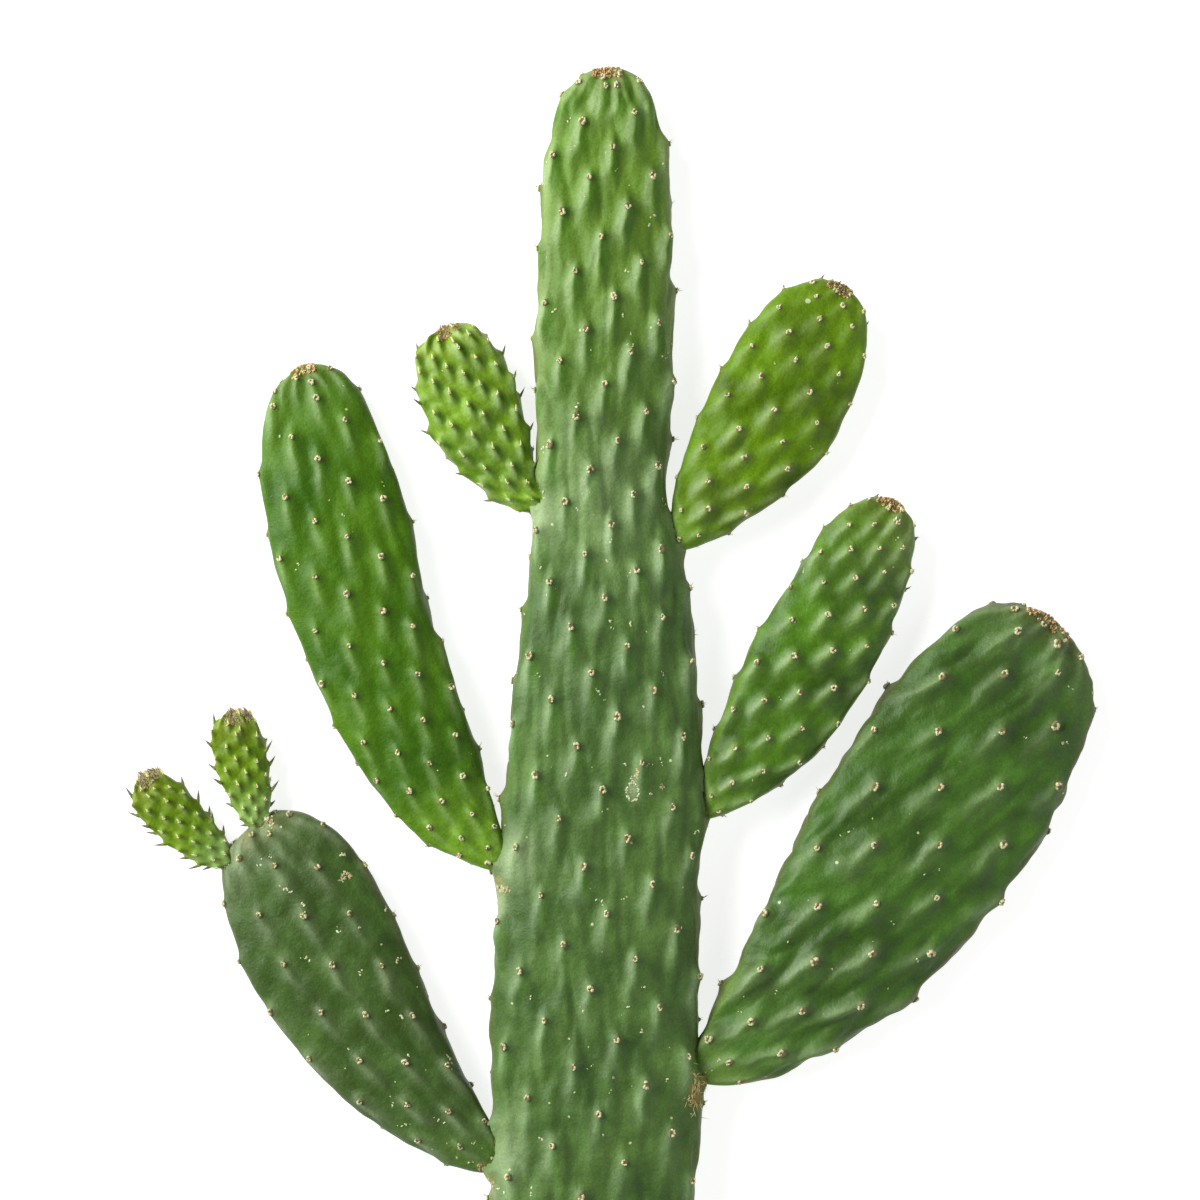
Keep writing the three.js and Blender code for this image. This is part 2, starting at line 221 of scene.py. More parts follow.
def reliefOn(shape, turn, step, plain):
    # each areole's ridge: sharp where it starts, and broader, lower and winding towards the base;
    # with it a value for painted light and shade on its sides: above 0 for a painted highlight on the left
    # of the ridge, towards the key light, and below 0 for a painted shade on the right
    ridge = shape["ridge"]
    winding = ridge["wind"] * lumps(plain, ridge["windSize"], shape["seed"] + 70)
    share = shareAt(shape, step)
    distance = share * shape["length"]
    girth = girthOf(halfAt(shape, step), thickAt(shape, share))
    total, mound, flank = np.zeros((3, len(turn)))
    reach = relief["reach"] * max(ridge["below"], ridge["above"])
    waxMiddle = relief["waxMiddle"] * ridge["below"]
    waxLength = relief["waxLength"] * ridge["below"]
    for (place, around), vigour in zip(shape["areoles"], shape["vigour"]):
        near = np.abs(distance - place) < reach
        ahead = distance[near] - place
        apart = turn[near] - around
        across = (apart - np.round(apart)) * girth[near]
        mound[near] += np.exp(-(ahead**2 + across**2) / shape["mound"]["reach"] ** 2)
        behind = np.maximum(-ahead, 0)
        across = across - ridge["slant"] * behind + winding[near] * np.minimum(behind / ridge["below"], 1)
        run = np.abs(ahead) / np.where(ahead > 0, ridge["above"], ridge["below"])
        broader = np.where(ahead > 0, 0, relief["broader"] * np.minimum(run, 1))
        width = ridge["width"] * (relief["narrow"] + broader)
        total[near] += vigour * np.exp(-(run**2) - (np.abs(across) / width) ** ridge["crest"])
        # painted highlight on the left side below each areole, painted shade on the right side
        far = ((ahead + waxMiddle) / waxLength) ** 2
        beside = across / (relief["waxWidth"] * width)
        paintedHighlight = np.exp(-far - (beside - relief["dustedSide"]) ** 2)
        flank[near] += vigour * (paintedHighlight - np.exp(-far - (beside + relief["rubbedSide"]) ** 2))
    toBase = 1 if shape["cutEnd"] else smoothStep(share, 0, relief["baseFade"])
    toTip = 1 - relief["tipLoss"] * smoothStep(share, relief["tipFade"], 1)
    return total, np.minimum(mound, 1), np.clip(flank, -1, 1), toBase * toTip


def foldsOn(shape, plain):
    # winding creases between long soft swellings, which run along the pad
    fold = shape["fold"]
    flat = plain[:, :2] - shape["origin"]
    along = flat @ shape["axis"]
    aside = flat @ shape["aside"] - fold["slant"] * along
    stretched = np.column_stack([aside, along / fold["stretch"], plain[:, 2]])
    large = np.sqrt(lumps(stretched, fold["size"], shape["seed"]) ** 2 + relief["creaseSoft"])
    small = lumps(stretched, relief["smallFolds"] * fold["size"], shape["seed"] + 50)
    small = np.sqrt(small**2 + relief["creaseSoft"]) - relief["foldMiddle"]
    return np.minimum(large, relief["foldTop"]) - relief["foldMiddle"] + relief["smallShare"] * small


def skinOn(shape, turn, step):
    turn = np.asarray(turn, float)
    step = np.asarray(step, float)
    plain = plainPoints(shape, turn, step)
    normals = plainNormals(shape, turn, step)
    total, mound, flank, fade = reliefOn(shape, turn, step, plain)
    ridge = shape["ridge"]
    height = ridge["height"] * (ridgeTop * np.tanh(total / ridgeTop) - ridgeFloor)
    height = height + shape["mound"]["height"] * mound
    height = height + shape["fold"]["height"] * foldsOn(shape, plain)
    wandering = lumps(plain, relief["wanderSize"] * ridge["width"], shape["seed"] + 9)
    height = height + shape["wander"] * wandering
    # the rims are drawn tighter than the faces
    facing = smoothStep(np.abs(normals[:, 2]), *relief["rimFacing"])
    height = height * (1 - shape["tightRim"] * (1 - facing))
    points = plain + normals * (height * fade)[:, None]
    points[:, 2] = np.maximum(points[:, 2], 0)
    return socketed(shape, points), total, flank


def skinPoints(shape, turn, step):
    return skinOn(shape, turn, step)[0]


def acrossOf(shape, flat, share):
    # the step there, the half width, and how far a point is aside of the centre line, in mm and half widths
    step = stepAt(shape, share)
    half = halfAt(shape, step)
    aside = flat @ shape["aside"] - splineAt(shape["bow"], step)
    return step, half, aside, aside / np.maximum(half, leastHalf)


def socketed(shape, points):
    # a carrier's skin sinks under the rounded base of each pad it carries
    for pad in shape["carried"]:
        flat = points[:, :2] - pad["origin"]
        share = flat @ pad["axis"] / pad["length"]
        bare = share * pad["length"] - pad["buried"]
        near = np.flatnonzero((bare > 0) & (share < socket["neck"]) & (points[:, 2] > pad["level"][0]))
        share = share[near]
        rounding = np.sqrt(1 - (1 - np.minimum(bare[near] / baseRounding, 1)) ** 2)
        _, half, aside, cosine = acrossOf(pad, flat[near], share)
        cosine = np.clip(cosine, -1, 1)
        top = between(pad["level"], share) + thickAt(pad, share) * flattened(np.sqrt(1 - cosine**2))
        cover = smoothStep(half * rounding - np.abs(aside), *socket["cover"])
        points[near, 2] += cover * np.minimum(top - socket["tuck"] - points[near, 2], 0)
    return points


def framesOn(shape, turn, step):
    # on the finished skin: the place, and the ways out of it, towards the tip and across
    along, across = waysOn(skinPoints, shape, turn, step, 0.0015)
    out = unit(np.cross(along, across))
    along = unit(along)
    return skinPoints(shape, turn, step), out, along, np.cross(along, out)


def evenSteps(shape, spacing):
    steps = np.linspace(0, 1, 3001)
    still = np.zeros_like(steps)
    edge = plainPoints(shape, still, steps)
    top = plainPoints(shape, still + 0.25, steps)
    stride = np.maximum(*[np.linalg.norm(np.diff(line, axis=0), axis=1) for line in (edge, top)])
    run = np.concatenate([[0], np.cumsum(stride)])
    count = max(12, int(run[-1] / spacing))
    return np.interp(np.linspace(0, run[-1], count + 1), run, steps)


def placeOn(shape, xs, ys):
    # turn and step of the upper face over a place on the drawing
    flat = np.column_stack([xs, ys]) - shape["origin"]
    share = np.clip(flat @ shape["axis"] / shape["length"], 0.002, 0.998)
    step, _, _, cosine = acrossOf(shape, flat, share)
    run, angles = shape["round"]
    return np.interp(np.arccos(np.clip(cosine, -1, 1)), angles, run), step


def depthIn(shape, points):
    # how far under the skin each point lies
    flat = points[:, :2] - shape["origin"]
    share = np.clip(flat @ shape["axis"] / shape["length"], 0.001, 0.999)
    step, _, _, aside = acrossOf(shape, flat, share)
    rise = (points[:, 2] - between(shape["level"], share)) / np.maximum(thickAt(shape, share), leastHalf)
    run, angles = shape["round"]
    angle = np.arctan2(np.sign(rise) * np.abs(rise) ** (1 / rimPower), aside)
    turn = np.interp(angle % (2 * math.pi), angles, run)
    return ((skinPoints(shape, turn, step) - points) * plainNormals(shape, turn, step)).sum(1)


# Turning points in mm into Blender pieces.

def pieceFrom(shape, name, points, faces, material, values):
    points = np.array(points)
    points[:, 2] = np.maximum(points[:, 2], 0)  # nothing goes under the surface that the plant lies on
    mesh = bpy.data.meshes.new(shape["name"] + name)
    placed = (points + (*drawingOrigin, 0)) * mm
    mesh.from_pydata(placed.tolist(), [], [tuple(map(int, face)) for face in faces])
    for key, numbers in values.items():
        stored = np.full(len(placed), numbers, np.float32)
        mesh.attributes.new(key, "FLOAT", "POINT").data.foreach_set("value", stored)
    mesh.polygons.foreach_set("use_smooth", [True] * len(mesh.polygons))
    mesh.materials.append(material)
    mesh.update()
    piece = bpy.data.objects.new(shape["name"] + name, mesh)
    bpy.context.scene.collection.objects.link(piece)
    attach(piece, "root")
    return piece


def ringFaces(rings, sides, last=1):
    # between rings of points, and with last 0 also from the last to the first
    faces = []
    for ring in range(rings - last):
        low = ring * sides
        high = (ring + 1) % rings * sides
        for side in range(sides):
            after = (side + 1) % sides
            faces.append((low + side, low + after, high + after, high + side))
    return faces


def fanFaces(pole, start, sides, flip):
    pairs = [(start + side, start + (side + 1) % sides) for side in range(sides)]
    return [(pole, *pair[::-1]) if flip else (pole, *pair) for pair in pairs]


def closedFaces(rings, sides):
    # rings of points, then a pole under the first and one over the last
    pole = rings * sides
    ends = fanFaces(pole, 0, sides, True) + fanFaces(pole + 1, pole - sides, sides, False)
    return ringFaces(rings, sides) + ends


def turned(form, places, frames, sizes):
    # copies one small form to many places; frames hold its x, y and z ways, sizes its scale in each
    formPoints, formFaces = form
    ways = np.stack(frames, axis=1)  # copies, axes, xyz
    scaled = formPoints[None] * sizes[:, None, :]
    points = np.einsum("nka,nax->nkx", scaled, ways) + places[:, None, :]
    faces = []
    for copy in range(len(places)):
        faces += [tuple(corner + copy * len(formPoints) for corner in face) for face in formFaces]
    return points.reshape(-1, 3), faces


def ringForm(rings, poles, sides):
    # rings of one radius, shift towards y and height each, closed by a pole underneath and one on top
    angles = np.arange(sides) * 2 * math.pi / sides
    points = [(wide * math.cos(a), wide * math.sin(a) + y, z) for wide, y, z in rings for a in angles]
    return np.array([*points, *poles], float), closedFaces(len(rings), sides)


def domeForm(sides, *rings):
    poles = [(0, 0, rings[0][1]), (0, 0, rings[-1][1])]
    return ringForm([(wide, 0, z) for wide, z in rings], poles, sides)


def thornForm(sides, bend):
    # one unit long up z, bowing towards y
    rings = [(wide, bend * z * z, z) for wide, z in ((1, 0), (0.75, 0.3), (0.42, 0.65))]
    return ringForm(rings, [(0, 0, 0), (0, bend, 1)], sides)


# Materials. The shares that the skin mixes its colours by are stored on its points.

rgba = {"data_type": "RGBA"}
multiplied = {"data_type": "RGBA", "blend_type": "MULTIPLY"}
# pale grey-green of the painted highlight on the left side of each ridge
paintedHighlightColour = "#a3b490"
paleWax = "#93a67a"
fleckCork = "#b9c391"
barkDark = "#54461e"
barkLight = "#a08f50"


def linear(code):
    channels = [int(code[i : i + 2], 16) / 255 for i in (1, 3, 5)]
    return (*[c / 12.92 if c <= 0.04045 else ((c + 0.055) / 1.055) ** 2.4 for c in channels], 1)


def addNode(tree, kind, inputs=None, **settings):
    # an input is a value, a colour's code, a socket, or a node, which stands for its first output in use
    node = tree.nodes.new("ShaderNode" + kind)
    for key, value in settings.items():
        setattr(node, key, value)
    for key, value in (inputs or {}).items():
        if isinstance(value, str):
            value = linear(value)
        if isinstance(value, bpy.types.Node):
            value = next(output for output in value.outputs if output.enabled)
        if isinstance(value, bpy.types.NodeSocket):
            tree.links.new(value, node.inputs[key])
        else:
            node.inputs[key].default_value = value
    return node


def newMaterial(name, finish, keys=()):
    # gives what adds a node to it, its shader, and where on the piece a point lies and what is stored there
    material = bpy.data.materials.new(name)
    material.use_nodes = True
    tree = material.node_tree
    shader = tree.nodes["Principled BSDF"]
    for key, value in finish.items():
        shader.inputs[key].default_value = value
    add = partial(addNode, tree)
    place = add("TexCoord").outputs["Object"]
    stored = [add("Attribute", attribute_name=key).outputs["Fac"] for key in keys]
    return material, add, shader, place, stored


def finished(material, shader, sockets):
    for key, node in sockets.items():
        output = next(output for output in node.outputs if output.enabled)
        material.node_tree.links.new(output, shader.inputs[key])
    return material


def waxedSkin(name, look):
    # living cactus skin: green tissue under a thin dull wax, which gives the eye soft grey lights,
    # with small corky flecks where it was scratched
    finish = {
        "IOR": 1.45,
        "Specular IOR Level": look["shine"],
        "Subsurface Weight": look["depth"],
        "Subsurface Radius": (0.9, 1.0, 0.35),
        "Subsurface Scale": 2 * mm,
        "Coat Weight": look["wax"],
        "Coat Roughness": 0.34,
    }
    keys = ("ridge", "flank", "tan", "young", "cork", "pale", "root")
    material, add, shader, place, stored = newMaterial(name, finish, keys)
    ridge, flank, tan, young, cork, pale, root = stored
    noises = []
    for size, detail, roughness in (
        (look["patch"], 3, 0.6),
        (1.1, 2, 0.6),  # the stomata's grain, drawn about twice as coarse as it is
        (1.6, 2, 0.5),  # what bends the flecks' outlines
        (1.8, 4, 0.75),  # the ragged edge of cork
        (4.5, 4, 0.62),  # unevenness that breaks up the edges of the lights
    ):
        inputs = {"Vector": place, "Scale": 1 / (size * mm), "Detail": detail, "Roughness": roughness}
        noises.append(add("TexNoise", inputs))
    patches, grain, bends, ragged, puckers = noises
    broad = add("MapRange", {"Value": patches, "From Min": 0.36, "From Max": 0.64})
    lifted = add("MapRange", {"Value": ridge, "From Min": 0.1, "From Max": 1.15, "To Max": look["lift"]})
    # painted highlight on the left side of each ridge, and painted shade on the right side
    paintedHighlight = add("MapRange", {"Value": flank, "To Max": look["dust"]})
    rubbed = add("MapRange", {"Value": flank, "From Max": -1, "To Max": look["rubbed"]})
    # among these coats are painted highlight on the left side of each ridge and painted shade, in each
    # pad's bare colour, on its right side
    coats = (
        # the root coat is a paler base together with the painted highlight along the rims
        (broad, look["fresh"]), (lifted, look["bloom"]), (young, look["tip"]), (root, look["root"]),
        # the brown of the rims is partly painted shade, along the right rim
        (paintedHighlight, paintedHighlightColour), (rubbed, look["bare"]), (tan, look["tanned"]), (pale, paleWax),
    )
    colour = look["deep"]
    for share, code in coats:
        colour = add("Mix", {"Factor": share, 6: colour, 7: code}, **rgba)
    speckle = {"Value": grain, "From Min": 0.3, "From Max": 0.7, "To Min": 0.86, "To Max": 1.14}
    speckle = add("MapRange", speckle)
    colour = add("Mix", {"Factor": 1, 6: colour, 7: speckle}, **multiplied)

    # flecks: one in most cells of a loose net, each of its own size
    warp = add("VectorMath", {0: bends.outputs["Color"], "Scale": 0.9 * mm}, operation="SCALE")
    warped = add("VectorMath", {0: place, 1: warp}, operation="ADD")
    cells = add("TexVoronoi", {"Vector": warped, "Scale": 1 / (look["fleckGap"] * mm)})
    chance = add("SeparateColor", {"Color": cells.outputs["Color"]})
    size = add("MapRange", {"Value": chance, "From Min": look["fleckLeast"], "To Max": 0.07})
    away = add("Math", {0: cells, 1: 0.02}, operation="SUBTRACT")
    fleck = add("Math", {0: size, 1: away}, operation="GREATER_THAN")
    fleck = add("Math", {0: fleck, 1: 0.75}, operation="MULTIPLY")
    colour = add("Mix", {"Factor": fleck, 6: colour, 7: fleckCork}, **rgba)

    # cork: a thin tan crust beside the joints, broken up at its edge
    edge = add("Math", {0: cork, 1: ragged}, operation="ADD")
    corky = add("MapRange", {"Value": edge, "From Min": 0.75, "From Max": 1.25, "To Max": 0.85})
    bark = add("Mix", {"Factor": ragged, 6: barkDark, 7: barkLight}, **rgba)
    colour = add("Mix", {"Factor": corky, 6: colour, 7: bark}, **rgba)

    rough = {"Value": broad, "To Min": look["rough"] - 0.05, "To Max": look["rough"] + 0.06}
    rough = add("MapRange", rough)
    rough = add("Math", {0: rough, 1: corky}, operation="MAXIMUM")
    bump = add("Bump", {"Height": puckers, "Distance": look["pucker"] * mm})
    bump = add("Bump", {"Height": grain, "Distance": 0.12 * mm, "Normal": bump})
    bump = add("Bump", {"Height": fleck, "Distance": 0.2 * mm, "Normal": bump})
    return finished(material, shader, {"Base Color": colour, "Roughness": rough, "Normal": bump})


def felt(name, pit, wool, edge):
    # areole felt: short dense plant wool, which gives the eye dull cream tufts round a brown pit
    finish = {"Roughness": 0.95, "Sheen Weight": 0.3, "Sheen Roughness": 0.5}
    material, add, shader, place, (tufted, age) = newMaterial(name, finish, ("wool", "age"))
    fibre = {"Vector": place, "Scale": 1 / (0.35 * mm), "Detail": 3, "Roughness": 0.7}
    fibre = add("TexNoise", fibre)
    colour = add("Mix", {"Factor": tufted, 6: pit, 7: wool}, **rgba)
    colour = add("Mix", {"Factor": age, 6: colour, 7: edge}, **rgba)
    speckle = {"Value": fibre, "From Min": 0.3, "From Max": 0.7, "To Min": 0.72, "To Max": 1.25}
    speckle = add("MapRange", speckle)
    colour = add("Mix", {"Factor": 1, 6: colour, 7: speckle}, **multiplied)
    bump = add("Bump", {"Height": fibre, "Distance": 0.25 * mm})
    return finished(material, shader, {"Base Color": colour, "Normal": bump})


def tipped(name, root, tip, start, roughness):
    # horn and leaf stuff that changes colour along its length, from start on
    material, add, shader, place, (along,) = newMaterial(name, {"Roughness": roughness}, ("along",))
    streak = add("TexNoise", {"Vector": place, "Scale": 1 / (0.8 * mm), "Detail": 2})
    shifted = add("Math", {0: along, 1: streak}, operation="ADD")
    part = {"Value": shifted, "From Min": start + 0.4, "From Max": start + 0.75}
    part = add("MapRange", part)
    colour = add("Mix", {"Factor": part, 6: root, 7: tip}, **rgba)
    return finished(material, shader, {"Base Color": colour})


def callusOf(name):
    # healed flesh: dry and beige, with the ring of wood strands showing as brown dots
    material, add, shader, place, (radial,) = newMaterial(name, {"Roughness": 0.85}, ("radial",))
    cloud = add("TexNoise", {"Vector": place, "Scale": 1 / (6 * mm), "Detail": 5, "Roughness": 0.65})
    part = add("MapRange", {"Value": cloud, "To Min": -0.06, "To Max": 0.06})
    part = add("Math", {0: radial, 1: part}, operation="ADD")
    shade = add("ValToRGB", {"Fac": part})
    stops = shade.color_ramp.elements
    stops[0].color = linear("#b9b083")
    stops[1].color = linear("#5a5a2a")
    for position, code in (
        (0.5, "#a79c6c"), (0.6, "#8a7445"), (0.68, "#b0a676"), (0.88, "#948a58"), (0.95, "#6f6436"),
    ):
        stops.new(position).color = linear(code)
    strands = add("TexVoronoi", {"Vector": place, "Scale": 1 / (3 * mm)})
    dots = add("MapRange", {"Value": strands, "From Min": 0.1, "From Max": 0.45, "To Min": 0.62})
    colour = add("Mix", {"Factor": 1, 6: shade, 7: dots}, **multiplied)
    bump = add("Bump", {"Height": cloud, "Distance": 1.2 * mm})
    return finished(material, shader, {"Base Color": colour, "Normal": bump})


oldFelt = felt("areole_felt_old", "#6f6638", "#cfcb9b", "#8c8450")
youngFelt = felt("areole_felt_young", "#8a7f36", "#dfd9a0", "#a89a50")
crownFelt = felt("areole_felt_crown", "#7c5c28", "#dcc28c", "#b78c4e")
# cork is dry and crumbly, which gives the eye the same dull light as wool
corkCrumb = felt("cork_crumb", "#8a8a5c", "#c6cda6", "#a08a52")
jointCork = felt("cork_joint", "#3a3616", "#84753a", "#84753a")
# a spine is dead wood-like tissue, grey with a dark point
spineHorn = tipped("spine_horn", "#8f8768", "#4a4034", 0.4, 0.55)
bristleHorn = tipped("bristle_horn", "#b59a62", "#6f5230", 0.4, 0.6)
crownHorn = tipped("bristle_horn_crown", "#d2ab6c", "#a8733e", 0.35, 0.6)
fibreHorn = tipped("cork_fibre", "#bfa050", "#ead9a0", 0.3, 0.6)
# a young leaf is soft green with a tip that dries brown
leafFlesh = tipped("leaf_flesh", "#76902c", "#544b3c", 0.18, 0.5)
paleLeaf = tipped("leaf_flesh_pale", "#8fa648", "#d9d8a0", 0.25, 0.5)
callus = callusOf("stem_callus")
print("materials made")


# Growing one pad: its skin, felt, spines, bristles and leaves.

tone = dict(
    upper=8,  # mm under a pad's middle height, down to which spots of cork and wax reach
    rootFrom=2,  # mm from the base
    strip=(0.8, 0.93),  # cosines of the way round between which a painted highlight, a paler strip along the rim, sets in
    stripEnds=(12, 25),  # mm over which it begins and ends
    rightRim=(0.93, 0.998), leftRim=(0.965, 0.998),  # the same for the brown of each rim, wider on the right rim, where the extra is painted shade
    tipTan=0.8, tipReach=(1, 18),  # mm from the tip
)
woolKind = dict(  # what every felt shares; sizes are in shares of the felt's own
    sizes=(0.78, 1.15), widths=(0.85, 1.1),
    upward=(0.75, 1),  # size on the underside and on top
    cushion=0.7, seat=0.25,  # height of the brown cushion, and how far up it the tufts sit
    ring=(0.42, 0.76), stray=0.16,  # how far out they stand, and how unevenly round it
    twist=0.4,
    tufts=(0.28, 0.5), lengths=(0.9, 1.5), height=1.25,  # the last two against a tuft's width
    lump=0.7,  # mm from one lump of wool to the next
)
crumbKind = dict(
    strings=(0.03, 0.96),  # where along a pad strings of crumbs may lie
    narrow=0.3,  # width of a string against its length
    sizes=(0.5, 1.3), woundSizes=(0.6, 1.3),
    lengths=(1, 2.2), height=0.55,  # of a crumb, against its width
    lump=0.9, rough=0.12, worn=0.45,
    browned=0.5,  # added to the age of a wound's crumbs, but not to a ring's
)
jointKind = dict(
    sides=96,  # points round a joint
    rows=90, neck=(0.004, 0.42),  # up a pad's neck, where the joint is looked for
    near=1.2,  # mm from the carrier's skin straight above
    corners=6,  # of the cord of cork laid round it
    rounds=3,  # of smoothing
    uneven=0.25, lump=4, shade=6,
)
cutKind = dict(
    sides=120, rough=0.35, lump=7,
    backPole=7, skinPole=9,  # mm in from the cut, where the callus and the skin close behind it
)
needleLengths = (0.55, 1.15)
sunkSpot = 0.3  # mm of socket over an areole, which then isn't grown
faceOn = 0.6  # how far a spot faces up or down to lie on a face, not on a rim
cushionForm = domeForm(9, (0.92, -1.2), (0.95, 0.1), (0.72, 0.55), (0.3, 0.42))
tuftForm = domeForm(5, (0.8, -0.9), (1, 0.1), (0.62, 0.8))
crumbForm = domeForm(5, (0.8, -0.8), (1, 0.1), (0.66, 0.75))


def spotsOn(shape, key, points):
    # soft spots on the upper side, from a list of x, y, width, height and strength
    total = np.zeros(len(points))
    upper = points[:, 2] > shape["level"][0] - tone["upper"]
    for x, y, wide, tall, strength in shape[key]:
        away = ((points[:, 0] - x) / wide) ** 2 + ((points[:, 1] - y) / tall) ** 2
        total = np.maximum(total, strength * np.exp(-away) * upper)
    return total


def growSkin(shape):
    look = shape["look"]
    sides = int(girthOf(max(shape["half"]), shape["thick"][0]) / shape["spacing"] / 2) * 2
    steps = evenSteps(shape, shape["spacing"])
    inner = steps[:-1] if shape["cutEnd"] else steps[1:-1]
    turn = np.concatenate([np.tile(np.arange(sides) / sides, len(inner)), [0, 0]])
    step = np.concatenate([np.repeat(inner, sides), [0, 1]])
    points, total, flank = skinOn(shape, turn, step)
    if shape["cutEnd"]:
        points[-2] = (*(shape["origin"] + cutKind["skinPole"] * shape["axis"]), shape["level"][0])
    share = shareAt(shape, step)
    distance = share * shape["length"]
    toTip = shape["length"] - distance
    cosine = np.cos(np.interp(turn % 1, *shape["round"]))
    paleBaseAndRimHighlight = look["rootShare"] * (1 - smoothStep(distance, tone["rootFrom"], look["rootReach"]))
    starting, ending = tone["stripEnds"]
    # painted highlight: paler strips along the rims, strongest along the left ones
    for side, low, high, strength in shape["edges"]:
        ends = smoothStep(distance, low, low + starting) * (1 - smoothStep(distance, high - ending, high))
        paleBaseAndRimHighlight = np.maximum(paleBaseAndRimHighlight, strength * ends * smoothStep(side * cosine, *tone["strip"]))
    # the rims and the growing end are browned; the extra width of brown along the right rim is painted
    # shade
    tanned = np.maximum(smoothStep(cosine, *tone["rightRim"]), smoothStep(-cosine, *tone["leftRim"]))
    tanned = np.maximum(tanned, tone["tipTan"] * (1 - smoothStep(toTip, *tone["tipReach"])))
    values = {
        "ridge": total,
        # painted light and shade on the two sides of each ridge
        "flank": flank * between(look["flankGain"], share),
        "tan": look["tan"] * tanned,
        "young": look["youngShare"] * (1 - smoothStep(toTip, 0, look["youngReach"])),
        "cork": spotsOn(shape, "cork", points),
        "pale": spotsOn(shape, "pale", points),
        # root: paler towards the base, and the painted highlight along the rims
        "root": paleBaseAndRimHighlight,
    }
    material = waxedSkin(shape["name"] + "_cuticle", look)
    piece = pieceFrom(shape, "_skin", points, closedFaces(len(inner), sides), material, values)
    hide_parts(shape["name"])


def growFelt(shape, name, spots, felted, seed):
    # on each spot a low brown cushion and, on it, tufts of wool in an open ring
    rng = np.random.default_rng(seed)
    place, out, along, across = framesOn(shape, *spots)
    count = len(place)
    size = rng.uniform(*woolKind["sizes"], count) * between(woolKind["upward"], np.maximum(out[:, 2], 0))
    wide = felted["wide"] / 2 * size * rng.uniform(*woolKind["widths"], count)
    tall = felted["tall"] / 2 * size
    sizes = np.column_stack([wide, tall, felted["high"] * woolKind["cushion"] * size])
    cushions, faces = turned(cushionForm, place, (across, along, out), sizes)

    picked = np.repeat(np.arange(count), felted["tufts"])
    around = np.tile(np.arange(felted["tufts"]) * 2 * math.pi / felted["tufts"], count)
    opening = rng.uniform(0, 2 * math.pi, count)
    closed = np.cos(around - opening[picked]) < 1 - felted["open"] * rng.uniform(0, 1, count)[picked]
    picked = picked[closed]
    around = around[closed] + rng.normal(0, woolKind["stray"], closed.sum())
    reach = rng.uniform(*woolKind["ring"], len(picked))
    aside = wide[picked] * reach * np.cos(around)
    ahead = tall[picked] * reach * np.sin(around)
    middle = place[picked] + aside[:, None] * across[picked] + ahead[:, None] * along[picked]
    middle += felted["high"] * woolKind["seat"] * out[picked]
    thick = felted["wide"] / 2 * size[picked] * rng.uniform(*woolKind["tufts"], len(picked))
    lengths = thick * rng.uniform(*woolKind["lengths"], len(picked))
    way = around + rng.normal(0, woolKind["twist"], len(picked))
    outward = unit(np.cos(way)[:, None] * across[picked] + np.sin(way)[:, None] * along[picked])
    frames = (outward, np.cross(out[picked], outward), out[picked])
    sizes = np.column_stack([thick, lengths, thick * woolKind["height"]])
    tufts, moreFaces = turned(tuftForm, middle, frames, sizes)
    faces += [tuple(corner + len(cushions) for corner in face) for face in moreFaces]
    points = np.concatenate([cushions, tufts])
    points += lumps(points, woolKind["lump"], 3)[:, None] * felted["ragged"]
    age = np.repeat(rng.uniform(0, felted["worn"], len(picked)), len(tuftForm[0]))
    none = np.zeros(len(cushions))
    values = {"wool": np.concatenate([none, np.ones(len(tufts))]), "age": np.concatenate([none, age])}
    pieceFrom(shape, name, points, faces, felted["stuff"], values)


def growNeedles(shape, name, spots, needle, seed):
    # spines, bristles or leaves: some to a spot, leaning towards the tip with a random spread
    rng = np.random.default_rng(seed)
    picked = np.repeat(np.arange(len(spots[0])), needle["each"])
    picked = picked[rng.random(len(picked)) < needle["share"]]
    place, out, along, across = (part[picked] for part in framesOn(shape, *spots))
    count = len(picked)
    sideways = rng.normal(0, needle["spread"], count)[:, None]
    ahead = (needle["lean"] + rng.normal(0, needle["spread"], count))[:, None]
    up = unit(out + ahead * along + sideways * across)
    x = unit(np.cross(along, up))
    length = needle["length"] * rng.uniform(*needleLengths, count)
    length = length * (1 - needle["stub"] * np.maximum(out[:, 2], 0))
    shift = rng.uniform(-1, 1, (2, count)) * needle["scatter"]
    start = place - needle["sunk"] * out + shift[0][:, None] * across + shift[1][:, None] * along
    start = start - needle["behind"] * along
    clear = (start + up * length[:, None])[:, 2] > needle["wide"]
    form = thornForm(needle["sides"], needle["bend"])
    wide = np.full(count, needle["wide"] / 2)
    sizes = np.column_stack([wide, wide * needle["flat"], length + needle["sunk"]])[clear]
    points, faces = turned(form, start[clear], (x[clear], np.cross(up, x)[clear], up[clear]), sizes)
    values = {"along": np.tile(form[0][:, 2], clear.sum())}
    pieceFrom(shape, name, points, faces, needle["stuff"], values)


